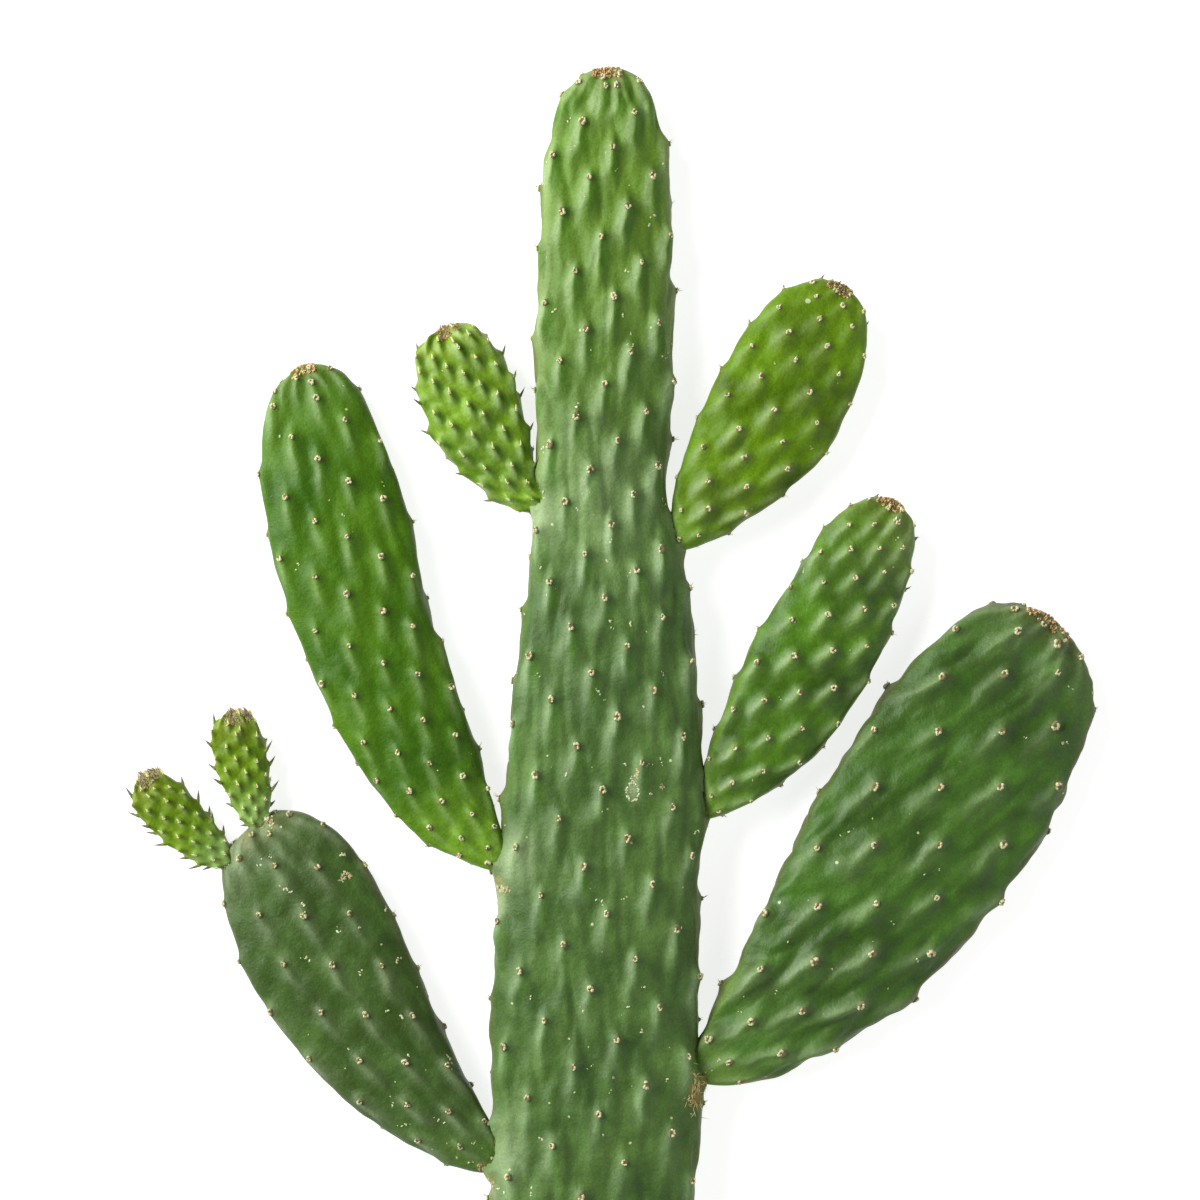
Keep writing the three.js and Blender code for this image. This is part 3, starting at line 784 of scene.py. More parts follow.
def growScars(shape):
    # crumbs of cork: fine ones in short strings all over, and thick ones at old wounds
    rng = np.random.default_rng(shape["seed"] + 11)
    marks = shape["marks"]
    crumbs = []
    for _ in range(marks["clusters"]):
        count = rng.integers(1, marks["each"] + 1)
        heading = rng.uniform(0, math.pi)
        run = rng.normal(0, marks["reach"], count)
        away = rng.normal(0, crumbKind["narrow"] * marks["reach"], count)
        share = rng.uniform(*crumbKind["strings"])
        girth = girthOf(float(halfAt(shape, stepAt(shape, share))), shape["thick"][0])
        turn = rng.random() + (run * math.sin(heading) + away * math.cos(heading)) / girth
        ahead = (run * math.cos(heading) - away * math.sin(heading)) / shape["length"]
        step = stepAt(shape, np.clip(share + ahead, 0.01, 0.99))
        size = marks["size"] * rng.uniform(*crumbKind["sizes"], count)
        crumbs.append(np.stack([turn, step, size, 0 * size]))
    for x, y, wide, tall, count, most, ring in shape["scars"]:
        around = rng.uniform(0, 2 * math.pi, count)
        out = 1 + rng.normal(0, ring, count) if ring else np.sqrt(rng.random(count))
        turn, step = placeOn(shape, x + wide * out * np.cos(around), y + tall * out * np.sin(around))
        size = most * rng.uniform(*crumbKind["woundSizes"], count)
        crumbs.append(np.stack([turn, step, size, 0 * size + (0 if ring else crumbKind["browned"])]))
    turn, step, size, browned = np.concatenate(crumbs, axis=1)
    place, out, along, across = framesOn(shape, turn, step)
    way = rng.uniform(0, math.pi, len(size))[:, None]
    first = np.cos(way) * across + np.sin(way) * along
    long = size * rng.uniform(*crumbKind["lengths"], len(size))
    sizes = np.column_stack([long, size, crumbKind["height"] * size])
    points, faces = turned(crumbForm, place, (first, np.cross(out, first), out), sizes)
    points += crumbKind["rough"] * lumps(points, crumbKind["lump"], 5)[:, None]
    age = np.repeat(rng.uniform(0, crumbKind["worn"], len(size)) + browned, len(crumbForm[0]))
    pieceFrom(shape, "_scars", points, faces, corkCrumb, {"wool": 1, "age": age})
    for x, y, wide, tall, count in shape["fibres"]:
        spots = placeOn(shape, x + rng.normal(0, wide, count), y + rng.normal(0, tall, count))
        growNeedles(shape, "_fibres", spots, fibreKind, shape["seed"] + 12)


def growJoint(pad, carrier):
    # the thin brown line of cork where a pad's neck leaves what carries it
    sides = jointKind["sides"]
    rows = jointKind["rows"]
    corners = jointKind["corners"]
    turns = np.repeat(np.arange(sides) / sides, rows)
    points = skinPoints(pad, turns, np.tile(np.linspace(*jointKind["neck"], rows), sides))
    above = skinPoints(carrier, *placeOn(carrier, points[:, 0], points[:, 1])) - points
    covered = (above[:, 2] > 0) & (np.hypot(above[:, 0], above[:, 1]) < jointKind["near"])
    upper = points[:, 2] > pad["level"][0] + 1
    inside = np.where(upper, covered, depthIn(carrier, points) > 0).reshape(sides, rows)
    last = rows - 1 - np.argmax(inside[:, ::-1], axis=1)
    ring = points.reshape(sides, rows, 3)[np.arange(sides), last]
    for _ in range(jointKind["rounds"]):
        ring = (np.roll(ring, 1, axis=0) + 2 * ring + np.roll(ring, -1, axis=0)) / 4
    ahead = unit(np.roll(ring, -1, axis=0) - np.roll(ring, 1, axis=0))
    side = unit(np.cross(ahead, np.array([*pad["axis"], 0.0])))
    up = np.cross(side, ahead)
    radius = pad["joint"] * (1 + jointKind["uneven"] * lumps(ring, jointKind["lump"], pad["seed"]))
    tube = []
    for n in range(corners):
        angle = n * 2 * math.pi / corners
        tube.append(ring + radius[:, None] * (math.cos(angle) * side + math.sin(angle) * up))
    points = np.stack(tube, axis=1).reshape(-1, 3)
    faces = [(face[0], *face[:0:-1]) for face in ringFaces(sides, corners, 0)]
    points[:, 2] = np.maximum(points[:, 2], 0)
    values = {"wool": np.clip(0.5 + 0.5 * lumps(points, jointKind["shade"], 8), 0, 1), "age": 0}
    pieceFrom(pad, "_joint", points, faces, jointCork, values)


def growCut(shape):
    # the cut end, healed over: a dished callus inside a thicker lip of skin
    sides = cutKind["sides"]
    ring = skinPoints(shape, np.arange(sides) / sides, np.zeros(sides))
    centre = np.array([*shape["origin"], shape["level"][0]])
    axis = np.array([*shape["axis"], 0.0])
    points = []
    radial = []
    for spread, dish in shape["cut"]:
        layer = centre + spread * (ring - centre) + dish * axis
        rough = cutKind["rough"] * lumps(layer, cutKind["lump"], 61) * min(1, 3 * (1 - spread))
        points.append(layer + rough[:, None] * axis)
        radial += [spread] * sides
    poles = [centre + shape["cutDish"] * axis, centre + cutKind["backPole"] * axis]
    points = np.concatenate([*points, poles])
    rings = len(shape["cut"])
    faces = [face[::-1] for face in ringFaces(rings, sides)]
    faces += fanFaces(len(points) - 2, (rings - 1) * sides, sides, True)
    faces += fanFaces(len(points) - 1, 0, sides, False)
    pieceFrom(shape, "_cut_face", points, faces, callus, {"radial": radial + [0, 1]})


def crownOf(shape):
    # places for the crowded areoles of the growing tip, none nearer to another than its own width
    rng = np.random.default_rng(shape["seed"] + 4)
    crown = shape["crown"]
    turn = rng.random(crown["tries"])
    step = stepAt(shape, 1 - crown["deep"] / shape["length"] * rng.random(crown["tries"]) ** 1.5)
    plain = plainPoints(shape, turn, step)
    facing = plainNormals(shape, turn, step)[:, :2] @ shape["axis"]
    tip = shape["origin"] + shape["axis"] * shape["length"]
    aside = (plain[:, :2] - tip) @ shape["aside"] - crown["aside"]
    chosen = []
    for n in np.flatnonzero((facing > crown["facing"]) & (np.abs(aside) < crown["wide"])):
        if all(np.linalg.norm(plain[n] - plain[m]) > crown["gap"] for m in chosen):
            chosen.append(n)
    return turn[chosen], step[chosen]


def growPad(shape):
    growSkin(shape)
    seed = shape["seed"]
    crown = shape["crown"]
    distances, turns = shape["areoles"].T
    steps = stepAt(shape, distances / shape["length"])
    plain = plainPoints(shape, turns, steps)
    sunk = plain[:, 2] - socketed(shape, plain.copy())[:, 2] > sunkSpot
    keep = (distances < shape["length"] - crown["bare"]) & ~sunk
    spots = (turns[keep], steps[keep])
    growFelt(shape, "_areoles", spots, shape["felt"], seed)
    growNeedles(shape, "_spines", spots, shape["spines"], seed + 1)
    growNeedles(shape, "_bristles", spots, shape["bristles"], seed + 2)
    tips = crownOf(shape)
    growFelt(shape, "_crown", tips, {**shape["felt"], **crown["felt"]}, seed + 5)
    growNeedles(shape, "_crown_bristles", tips, {**shape["bristles"], **crown["bristles"]}, seed + 6)
    growScars(shape)
    if shape["cutEnd"]:
        growCut(shape)
    if "leaves" in shape:
        leaves = shape["leaves"]
        chosen = distances[keep] > leaves["start"] * shape["length"]
        flat = np.abs(plainNormals(shape, *spots)[:, 2]) > faceOn
        growNeedles(shape, "_leaves", [spot[chosen & ~flat] for spot in spots], leaves, seed + 3)
        # on the faces a leaf is no more than the pale point of its bump
        points = {**leaves, **shape["leafPoints"]}
        growNeedles(shape, "_leaf_points", [spot[chosen & flat] for spot in spots], points, seed + 8)
        growNeedles(shape, "_crown_leaves", tips, {**leaves, **crown["leaves"]}, seed + 7)
    print(shape["name"], "grown with", len(shape["areoles"]), "areoles")




def grownLike(kind, **own):
    # a piece's own values over those of its kind, also inside the inner dictionaries
    merged = {**kind, **own}
    for key, value in own.items():
        if isinstance(kind.get(key), dict):
            merged[key] = grownLike(kind[key], **value)
    return merged


# What the pieces share. Sizes are in mm, places are x and y on the drawing, and pairs run from base to tip.
# Each piece adds where its base and tip are, their level and half thickness, half widths and bow of its
# middle line in even steps, how deep it is buried in its carrier, how thick the cork of its joint is, and
# the spacing of its skin's points. A series of areoles has the share of a turn and the mm from one to the
# next, mm and turn of its middle one, how turn and mm bend away from it, and from where to where it runs.

padKind = dict(
    carrier="stem",
    cutEnd=False,
    ridge=dict(
        above=4,  # how far it runs from its areole to the tip, and below, to the base
        slant=0.0,  # mm to the side for each mm down
        crest=1.25,  # 1 is a sharp crest, and 2 a round one
        wind=1.3,  # mm to each side, every windSize
        windSize=14,
    ),
    mound=dict(height=0.5, reach=2.2),  # the swelling under each areole
    wander=0.25,  # slow unevenness of the whole skin
    fold=dict(stretch=3, slant=0.0),
    tightRim=0.25,
    shoulders=[],  # side, y, height and span of the swelling under each joint
    cork=[],  # x, y, width, height and strength of a soft spot
    pale=[],
    edges=[],  # side, from, to and strength of a painted highlight, a paler strip along a rim
    scars=[],  # x, y, width, height, count and size of its crumbs, and 0 or the unevenness of their ring
    fibres=[],  # x, y, width, height, count
    felt=dict(
        high=0.85,
        worn=0.2,  # how far its oldest tufts have turned to the edge colour
        ragged=0.084,
        tufts=8,  # places for tufts in the ring round its pit
        open=0.9,  # how much of that ring may be bare
        stuff=oldFelt,
    ),
    crown=dict(
        bare=2.5,  # down from the tip there are only crown areoles, which reach deep down the rim
        deep=4.5,
        aside=0,  # and this far to each side of a place aside of the tip
        facing=0.42,  # 1 faces straight out of the tip
        gap=1.5,
        tries=3000,
        felt=dict(worn=1.2, tufts=5, stuff=crownFelt),
        bristles=dict(each=9, length=1.6, wide=0.15, stuff=crownHorn),
    ),
    spines=dict(
        each=2, share=0.7, length=2.9, wide=0.34, lean=0.5, spread=0.4, scatter=0.3,
        sunk=0.5, behind=0, sides=5, bend=0.3, flat=1, stub=0.55, stuff=spineHorn,
    ),
    bristles=dict(
        each=7, share=1, length=0.9, wide=0.12, lean=0.15, spread=0.6, scatter=0.7,
        sunk=0.1, behind=0, sides=3, bend=0.1, flat=1, stub=0.3, stuff=bristleHorn,
    ),
    marks=dict(each=3),  # strings of crumbs, and the most in one
    look=dict(
        rootShare=0.7,  # how far the base and the tip take on a colour, and over how many mm
        youngShare=0.5,
        youngReach=45,
        lift=0.45,  # how much bloom the ridges show
        tan=0.3,
        dust=0.2,  # painted highlight on the left side of a ridge, and painted shade, in each pad's bare colour, on the right
        rubbed=0.2,
        # how strong that painted light and shade are at the base and at the tip
        flankGain=(1, 1),
        patch=26,  # mm from one darker patch to the next
        rough=0.47,
        shine=0.16,
        wax=0.05,
        depth=0.05,  # how much light goes in under the skin
        pucker=0.65,
        fleckGap=16,
        fleckLeast=0.55,
    ),
)
youngKind = grownLike(
    padKind,
    crown=dict(leaves=dict(share=0.6, length=3, wide=1.2)),
    leaves=dict(
        each=1, share=1, length=3.6, wide=1.6, lean=0.8, spread=0.12, scatter=0.1,
        sunk=0.7, behind=0.7, sides=8, bend=0.5, flat=0.75, stub=0.2, stuff=leafFlesh,
    ),
    leafPoints=dict(length=2.4, wide=1.7, lean=1.2, stub=0, stuff=paleLeaf),
    look=dict(wax=0.1),
)
fibreKind = grownLike(
    padKind["bristles"],
    each=2, length=6, wide=0.36, lean=-1.8, spread=1.5, bend=0.3, scatter=1.2, sunk=0.3, stuff=fibreHorn,
)

stem = grownLike(
    padKind, name="stem", slot="stem_skin", seed=21, carrier=None, cutEnd=True, base=(-3, -18),
    tip=(4, 520.5), level=(17.5, 12.2), thick=(18.4, 13.8),
    half=[46.5, 48, 48, 46.5, 46, 42.5, 37, 30.5, 31, 32, 30.5, 30, 27.8, 23.2, 17.8, 10.8, 0],
    bow=[0, 0, -0.5, 0, 2.5, 2.5, 2.5, -1, 0, -0.5, -0.5, 0, -0.5, 0, 0, 0, 0],
    ridge=dict(height=3.3, width=4.2, below=18, slant=0.1, windSize=15, vigour=(0.85, 1.35)),
    mound=dict(height=0.7, reach=2.4), wander=0.4,
    fold=dict(height=0.9, size=10.5, stretch=3.2, slant=0.08), tightRim=0.2,
    shoulders=[
        (-1, 154, 4, 9), (-1, 14, 4, 8), (-1, 322, 4, 8), (1, 303, 3, 8), (1, 178, 3.5, 8),
        (1, 57, 4.5, 9),
    ],
    spacing=1.46,
    series=[(0.382, 2.7, 114, 0.88, 0.01, -3.2, 0, 312), (-0.2168, 2.9, 421, 0.085, -0.024, 7, 312, 541)],
    cork=[
        (43.5, 50, 3.5, 7, 1), (47.5, 58, 3, 6, 0.7), (-47, 147, 5, 4, 0.55), (-50, 9, 3, 7, 0.6),
        (48, 174, 3, 4, 0.45), (-32, 306, 2.5, 6, 0.4), (38, 296, 2.5, 5, 0.4), (-47, 138, 3, 9, 0.4),
    ],
    pale=[
        (-29, 315, 8, 11, 0.75), (-36, 322, 5, 14, 0.4), (-40, 158, 9, 12, 0.6), (-46, 140, 4, 12, 0.6),
        (-44, 24, 9, 16, 0.45), (-48, 8, 5, 8, 0.4), (14.9, 189.6, 2.2, 3.4, 0.6), (0, 322, 24, 28, 0.2),
    ],
    edges=[(-1, 340, 520, 0.35), (1, 380, 520, 0.2)],
    scars=[
        (14.9, 188.8, 2.7, 4.1, 64, 0.32, 0.08), (15.2, 189.2, 1.5, 2.8, 8, 0.26, 0),
        (16.9, 197.6, 0.9, 1.6, 16, 0.46, 0), (15.6, 194.6, 1.5, 1.3, 16, 0.28, 0.1),
        (28.4, 190.8, 0.9, 1.9, 10, 0.3, 0), (-43.8, 143.6, 3.2, 1.5, 34, 0.5, 0),
        (-48.6, 149.3, 2, 1.8, 16, 0.34, 0), (-49.3, 8.5, 2, 2.6, 22, 0.5, 0),
        (46, 180.5, 1.8, 0.4, 8, 0.34, 0),
    ],
    fibres=[(42.5, 53, 2, 4.5, 40)],
    cut=[
        (1, 0), (1.004, -0.5), (0.985, -0.9), (0.955, -0.7), (0.9, 0.1), (0.78, 0.5), (0.6, 0.9),
        (0.4, 1.5), (0.2, 2),
    ],
    cutDish=2.2, felt=dict(wide=3.1, tall=4.3, worn=0.5),
    crown=dict(
        wide=6.2, aside=-0.5, facing=0.3, gap=1.6, felt=dict(wide=2.3, tall=2.3, worn=1.1),
        bristles=dict(length=1.7, wide=0.16),
    ),
    spines=dict(share=0.8, length=3.6, wide=0.44), marks=dict(clusters=160, each=4, reach=1.3, size=0.42),
    look=dict(
        deep="#375122", fresh="#4d6a30", bloom="#7c9868", tip="#5e8012", tanned="#5d5a30", root="#8b9c66",
        rootShare=0, rootReach=20, lift=0.58, tan=0.35, youngShare=0.62, youngReach=270, rough=0.49,
        wax=0, shine=0.2, patch=34, dust=0.21, rubbed=0.72, bare="#3b6406", flankGain=(0.6, 2.2),
        fleckGap=9, fleckLeast=0.35,
    ),
)

padLeftLow = grownLike(
    padKind, name="pad_left_low", slot="old_pad_skin", seed=31, joint=0.5, buried=5, base=(-46.5, 13.5),
    tip=(-154, 177), level=(16, 9.2), thick=(12.5, 11),
    half=[0, 8.5, 17.5, 26.5, 33.5, 36.5, 32, 20, 0],
    bow=[0, -2.5, -8, -13.5, -14.5, -12, -8.5, -7.5, -3.5],
    ridge=dict(height=2.5, width=4.2, below=17, slant=-0.1, crest=1.3, windSize=15, vigour=(1.1, 0.9)),
    mound=dict(height=0.6), wander=0.4, fold=dict(height=0.5, size=13, stretch=3.5, slant=-0.1),
    spacing=1.36,
    series=[(-0.2204, 3.1, 94.5, 0.218, -0.04, -14.5, 0, 999)],
    cork=[(-54.5, 15.5, 3, 3.2, 0.9), (-163, 166, 3, 6, 0.5), (-155, 174.5, 6, 1.8, 0.5)],
    pale=[(-166, 160, 5, 12, 0.3), (-158, 171, 12, 4, 0.3)],
    scars=[
        (-116.5, 149.5, 2.4, 2, 22, 0.5, 0), (-54.5, 15.8, 1.8, 1.8, 14, 0.4, 0),
        (-151.5, 172.5, 1.5, 2.2, 11, 0.4, 0), (-156, 174.5, 4.5, 0.5, 12, 0.3, 0),
    ],
    felt=dict(wide=2.9, tall=3.7, high=0.8, worn=0.9, ragged=0.14),
    crown=dict(
        deep=4, wide=4, facing=0.5, gap=2.1, felt=dict(stuff=oldFelt, wide=2, tall=2.2, worn=1),
        bristles=dict(each=7, length=0.9, wide=0.12),
    ),
    spines=dict(wide=0.38), marks=dict(clusters=80, each=5, reach=1.3, size=0.42),
    look=dict(
        deep="#2d4313", fresh="#3d5920", bloom="#6c7858", tip="#43592c", tanned="#57532e", root="#52752a",
        rootReach=40, tan=0.4, rough=0.49, wax=0, shine=0.24, dust=0.18, bare="#2c470c",
        flankGain=(1, 0.8), fleckGap=8, fleckLeast=0.3,
    ),
)

padLeftLong = grownLike(
    padKind, name="pad_left_long", slot="grown_pad_skin", seed=41, joint=0.45, buried=6,
    base=(-41.5, 151.5), tip=(-136.5, 384), level=(16, 8), thick=(11.5, 9.5),
    half=[0, 8.5, 20.5, 28, 30.5, 33, 28.5, 18, 0],
    bow=[0, -6.5, -15.5, -19.5, -19.5, -14, -8, -3.5, -1.5],
    ridge=dict(height=2.7, width=3.8, below=16, crest=1.35, wind=1, vigour=(0.9, 1.1)),
    mound=dict(height=0.6, reach=2.1), wander=0.35, fold=dict(height=0.5, size=12, stretch=4),
    spacing=1.3,
    series=[(0.2173, 2.5, 130.5, 0.967, -0.036, 16.5, 0, 999)],
    felt=dict(wide=2.9, tall=3.2, worn=0.4),
    crown=dict(wide=5.2, aside=-1.5, felt=dict(wide=2.1, tall=2.1, worn=1)),
    spines=dict(length=2.8, wide=0.36), marks=dict(clusters=16, reach=1, size=0.36),
    look=dict(
        deep="#2e5402", fresh="#426805", bloom="#658434", tip="#43681a", tanned="#5d5f2c", root="#6f9824",
        rootShare=0.8, rootReach=60, youngShare=0.6, depth=0.08, patch=30, rubbed=0.25, bare="#2c5800",
        flankGain=(0.8, 1.1), fleckGap=12, fleckLeast=0.6,
    ),
)

padLeftSmall = grownLike(
    youngKind, name="pad_left_small", slot="young_pad_skin", seed=51, joint=0.4, buried=4.5,
    base=(-25, 316.5), tip=(-68.5, 402.5), level=(14.5, 12), thick=(8.5, 7.5),
    half=[0, 6.5, 10, 16, 21, 21.5, 18.5, 13, 0],
    bow=[0, -1, -7, -8.5, -9, -7.5, -6.5, -5.5, -4],
    ridge=dict(
        height=4, width=3, below=7, above=2.6, crest=1.2, wind=0.4, windSize=10, vigour=(0.85, 1.15),
    ),
    mound=dict(reach=1.6), wander=0.15, fold=dict(height=0.25, size=8), tightRim=0.3, spacing=0.88,
    series=[(0.382, 1.15, 46, 0.3, 0, -12, 0, 999)],
    felt=dict(wide=1.4, tall=1.7, high=0.6, ragged=0.07, tufts=6, stuff=youngFelt),
    crown=dict(
        bare=2, deep=5, wide=5.2, aside=-2.5, facing=0.4, gap=1.2,
        felt=dict(wide=1.6, tall=1.6, worn=1.1, tufts=4), bristles=dict(each=12, length=1.8, spread=0.75),
    ),
    spines=dict(each=1, share=0.4, length=2.2, wide=0.3, lean=0.6),
    bristles=dict(each=8, length=1, wide=0.11), leaves=dict(length=4.6, wide=2, lean=0.95, start=0.12),
    leafPoints=dict(length=3.2, wide=1.5, lean=1.5), marks=dict(clusters=5, each=2, reach=0.8, size=0.3),
    look=dict(
        deep="#4a6b04", fresh="#6a9008", bloom="#8ba163", tip="#6c8c08", tanned="#6f6a2c", root="#7da428",
        rootShare=0.6, rootReach=26, lift=0.5, tan=0.2, youngShare=0.7, rough=0.43, depth=0.15, wax=0.15,
        shine=0.14, patch=24, dust=0.28, rubbed=0.95, bare="#335c00", fleckLeast=0.9,
    ),
)

padRightLow = grownLike(
    padKind, name="pad_right_low", slot="old_pad_skin", seed=61, joint=0.55, buried=4, base=(43, 55.5),
    tip=(204.5, 269.5), level=(16.5, 10.2), thick=(13.5, 12),
    half=[0, 12.5, 25.5, 39, 47.5, 49.5, 42.5, 27, 0],
    bow=[0, 4.5, 12, 16.5, 15.5, 13, 9.5, 7.5, 2],
    ridge=dict(
        height=3.9, width=4.8, below=20, above=4.5, slant=0.27, wind=2.2, windSize=16, vigour=(1.15, 0.7),
    ),
    mound=dict(height=0.7, reach=2.4), wander=0.45,
    fold=dict(height=1.1, size=13, stretch=2.8, slant=0.27), tightRim=0.15, spacing=1.46,
    series=[(0.178, 3.475, 140.5, 0.498, -0.052, -3.4, 0, 999)],
    edges=[(-1, 0, 70, 0.45)],
    felt=dict(wide=3.5, tall=4.5, high=0.95, worn=0.5),
    crown=dict(
        bare=3, deep=9, wide=11, aside=4, facing=0.48, gap=1.8, felt=dict(wide=2.3, tall=2.3),
        bristles=dict(each=8, length=1.4),
    ),
    spines=dict(wide=0.4), marks=dict(clusters=46, reach=1.2, size=0.38),
    look=dict(
        deep="#2e4913", fresh="#3f651c", bloom="#7a915b", tip="#3f6024", tanned="#574f2f", root="#6d9038",
        rootShare=0.75, rootReach=26, lift=0.5, tan=0.5, shine=0.24, patch=34, bare="#264a06",
        fleckGap=13,
    ),
)

padRightMiddle = grownLike(
    youngKind, name="pad_right_middle", slot="grown_pad_skin", seed=71, joint=0.45, buried=4,
    base=(43, 175), tip=(135, 322), level=(15.5, 13), thick=(10.5, 9),
    half=[0, 4, 15, 23.5, 27.5, 25.5, 21.5, 12.5, 0],
    bow=[0, 4, 5.5, 8, 7, 5.5, 2.5, 2, 1],
    ridge=dict(
        height=2.9, width=4.1, below=12, above=3, slant=0.15, crest=1.6, windSize=12, vigour=(1.1, 0.85),
    ),
    mound=dict(reach=2), fold=dict(height=0.4, size=11, slant=0.15), tightRim=0.4, spacing=1.15,
    series=[
        (0.1795, 2.22, 88.5, 0.313, -0.123, -4.5, 0, 120.5),
        (0.1795, 1.9, 121.4, 0.996, -0.05, -37, 120.5, 999),
    ],
    edges=[(-1, 0, 75, 0.45), (1, 0, 40, 0.3)],
    felt=dict(wide=2.7, tall=3, worn=0.35),
    crown=dict(deep=5, wide=5.6, gap=1.45, felt=dict(wide=2, tall=2), leaves=dict(share=0.3, length=2.8)),
    bristles=dict(each=8), leaves=dict(length=3.4, start=0.72),
    marks=dict(clusters=10, reach=0.9, size=0.34),
    look=dict(
        deep="#284404", fresh="#46700c", bloom="#89a759", tip="#557018", tanned="#565a2a", root="#6a9226",
        rootReach=30, youngShare=0.7, rough=0.45, depth=0.08, shine=0.2, dust=0.3, bare="#264c00",
        fleckLeast=0.7,
    ),
)

padRightUpper = grownLike(
    youngKind, name="pad_right_upper", slot="young_pad_skin", seed=81, joint=0.42, buried=4,
    base=(33, 299), tip=(111, 421.5), level=(14.5, 12.5), thick=(10, 8.5),
    half=[0, 5.5, 15, 24, 30, 30, 24.5, 14, 0],
    bow=[0, 1.5, 2.5, 4, 5.5, 4, 2.5, 2, 1.5],
    ridge=dict(
        height=2.7, width=4.5, below=12, above=3.2, slant=0.15, crest=1.7, wind=1.7, vigour=(1.2, 0.6),
    ),
    mound=dict(reach=2), fold=dict(height=0.6, size=13, stretch=3.5, slant=0.15), tightRim=0.35,
    spacing=1.15,
    series=[(-0.3838, 2, 69.5, 0.175, -0.015, -15.5, 0, 999)],
    edges=[(-1, 0, 70, 0.45), (1, 0, 40, 0.3)],
    felt=dict(wide=2.6, tall=2.9, worn=0.3),
    crown=dict(
        wide=5.8, aside=1, gap=1.45, felt=dict(wide=2, tall=2, worn=1.1),
        leaves=dict(share=0.3, wide=1.3),
    ),
    bristles=dict(each=8), leaves=dict(length=3.8, start=0.66),
    marks=dict(clusters=8, reach=0.9, size=0.34),
    look=dict(
        deep="#395200", fresh="#587d00", bloom="#8ca14e", tip="#567800", tanned="#66652c", root="#659320",
        rootShare=0.6, rootReach=30, lift=0.42, tan=0.25, youngShare=0.8, rough=0.45, depth=0.1,
        shine=0.12, patch=28, dust=0.24, rubbed=0.3, bare="#2c5a00", flankGain=(1.2, 0.5), fleckGap=18,
        fleckLeast=0.8,
    ),
)

budLeftOuter = grownLike(
    youngKind, name="bud_left_outer", slot="bud_skin", seed=91, carrier="pad_left_low", joint=0.5,
    buried=1, base=(-168.5, 153.5), tip=(-209.5, 196), level=(10.5, 10), thick=(6, 5.5),
    half=[0, 4.5, 9, 11.5, 12, 8.5, 0],
    bow=[0, -1.5, -3, -4, -4, -4, -2],
    ridge=dict(
        height=2.7, width=2, below=4.5, above=1.6, crest=1.15, wind=0.2, windSize=8, vigour=(0.8, 1.15),
    ),
    mound=dict(height=0.35, reach=1.2), wander=0.08, fold=dict(height=0.15, size=6), tightRim=0.4,
    spacing=0.64,
    series=[(0.382, 0.85, 29, 0.1, 0, 0, 0, 999)],
    felt=dict(wide=1.3, tall=1.4, high=0.6, ragged=0.07, tufts=6, stuff=youngFelt),
    crown=dict(
        bare=1.2, deep=5.5, wide=5.6, facing=0.2, gap=1.1,
        felt=dict(stuff=youngFelt, wide=1.2, tall=1.2, tufts=4),
        bristles=dict(each=10, length=3, wide=0.16, spread=0.5, stuff=fibreHorn),
        leaves=dict(length=4.2, wide=1.3, lean=1),
    ),
    spines=dict(each=1, share=0.3, length=1.8, wide=0.26, lean=0.6),
    bristles=dict(length=0.8, wide=0.1), leaves=dict(length=5.3, wide=2.4, lean=1, start=0.05),
    leafPoints=dict(length=2.6, wide=1.25, lean=1.3),
    marks=dict(clusters=3, each=2, reach=0.6, size=0.25),
    look=dict(
        deep="#426004", fresh="#608004", bloom="#8ba452", tip="#5f7404", tanned="#7c6a30", root="#86a65a",
        rootShare=0.75, rootReach=26, lift=0.32, tan=0.2, youngShare=0.45, rough=0.43, depth=0.15, wax=0,
        patch=16, rubbed=0.85, bare="#3c5a00", fleckGap=18, fleckLeast=0.95,
    ),
)

budLeftInner = grownLike(
    budLeftOuter, name="bud_left_inner", seed=95, base=(-156.5, 170), tip=(-167.5, 224.5),
    bow=[0, -1.5, -1.5, -2.5, -2.5, -2.5, -2.5],
    series=[(0.382, 0.85, 28, 0.6, 0, 0, 0, 999)],
)

shapes = [prepare(pad) for pad in (
    stem, padLeftLow, padLeftLong, padLeftSmall, padRightLow, padRightMiddle, padRightUpper,
    budLeftOuter, budLeftInner,
)]
for shape in shapes:
    shape["carried"] = [other for other in shapes if other["carrier"] == shape["name"]]
for shape in shapes:
    growPad(shape)
    for carrier in shapes:
        if shape["carrier"] == carrier["name"]:
            growJoint(shape, carrier)


# Floor, light and camera.

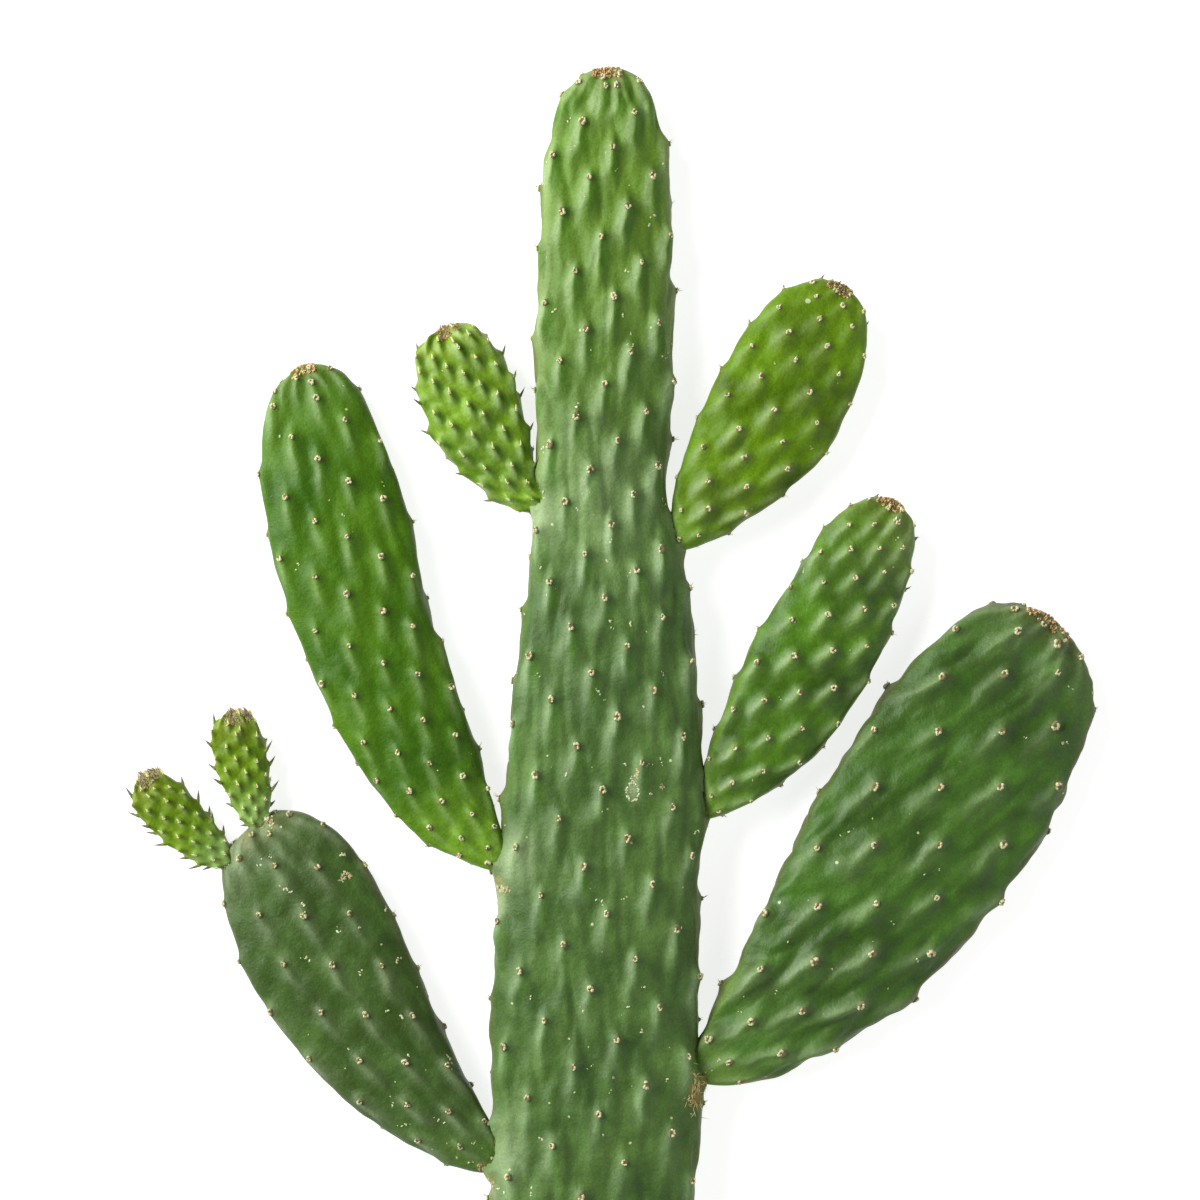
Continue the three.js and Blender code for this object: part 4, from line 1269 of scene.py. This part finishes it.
studio = {
    "floorDrop": 0.2,  # mm under the plant's lowest skin, so that the two don't flicker
    "floorSize": 40,  # m
    "floorWhite": 0.5,
    "floorGlow": 0.79,  # the light table under the paper
    "softboxes": [  # name, place, size and watts
        ("key_softbox", (-1.9, 0.85, 1.25), (2.2, 2.0), 150),
        ("fill_softbox", (1.7, -0.6, 0.9), (2.6, 2.6), 24),
    ],
    "skyLight": 0.18,
    "viewCentre": (-0.00643, 0.02276),
    "viewWidth": 0.552,
    "lens": 100,
    "sensor": 36,
    "focusHeight": 0.016,
}


def setUp(name, data):
    holder = bpy.data.objects.new(name, data)
    bpy.context.scene.collection.objects.link(holder)
    return holder


# matt white paper, lit from below, which gives the eye a plain ground with hardly a shadow
paper = {
    "Roughness": 0.9, "Base Color": (*[studio["floorWhite"]] * 3, 1),
    "Emission Color": (1, 1, 1, 1), "Emission Strength": studio["floorGlow"],
}
floorMesh = bpy.data.meshes.new("floor")
reach = studio["floorSize"] / 2
corners = [(-reach, -reach), (reach, -reach), (reach, reach), (-reach, reach)]
floorMesh.from_pydata([(x, y, -studio["floorDrop"] * mm) for x, y in corners], [], [(0, 1, 2, 3)])
floorMesh.materials.append(newMaterial("studio_paper", paper)[0])
setUp("floor", floorMesh)

world = bpy.data.worlds.new("studio_air")
bpy.context.scene.world = world
world.use_nodes = True
sky = world.node_tree.nodes["Background"].inputs
sky["Color"].default_value = (1, 1, 1, 1)
sky["Strength"].default_value = studio["skyLight"]

for name, place, size, power in studio["softboxes"]:
    light = bpy.data.lights.new(name, "AREA")
    light.energy = power
    light.shape = "RECTANGLE"
    light.size, light.size_y = size
    softbox = setUp(name, light)
    softbox.location = place
    aim = Vector((*studio["viewCentre"], 0)) - Vector(place)
    softbox.rotation_euler = aim.to_track_quat("-Z", "Y").to_euler()

camera = bpy.data.cameras.new("camera")
camera.lens = studio["lens"]
camera.sensor_width = studio["sensor"]
distance = studio["viewWidth"] * studio["lens"] / studio["sensor"]
stand = setUp("camera", camera)
stand.location = (*studio["viewCentre"], studio["focusHeight"] + distance)
bpy.context.scene.camera = stand
bpy.context.scene.view_settings.view_transform = "Standard"
print("studio set")
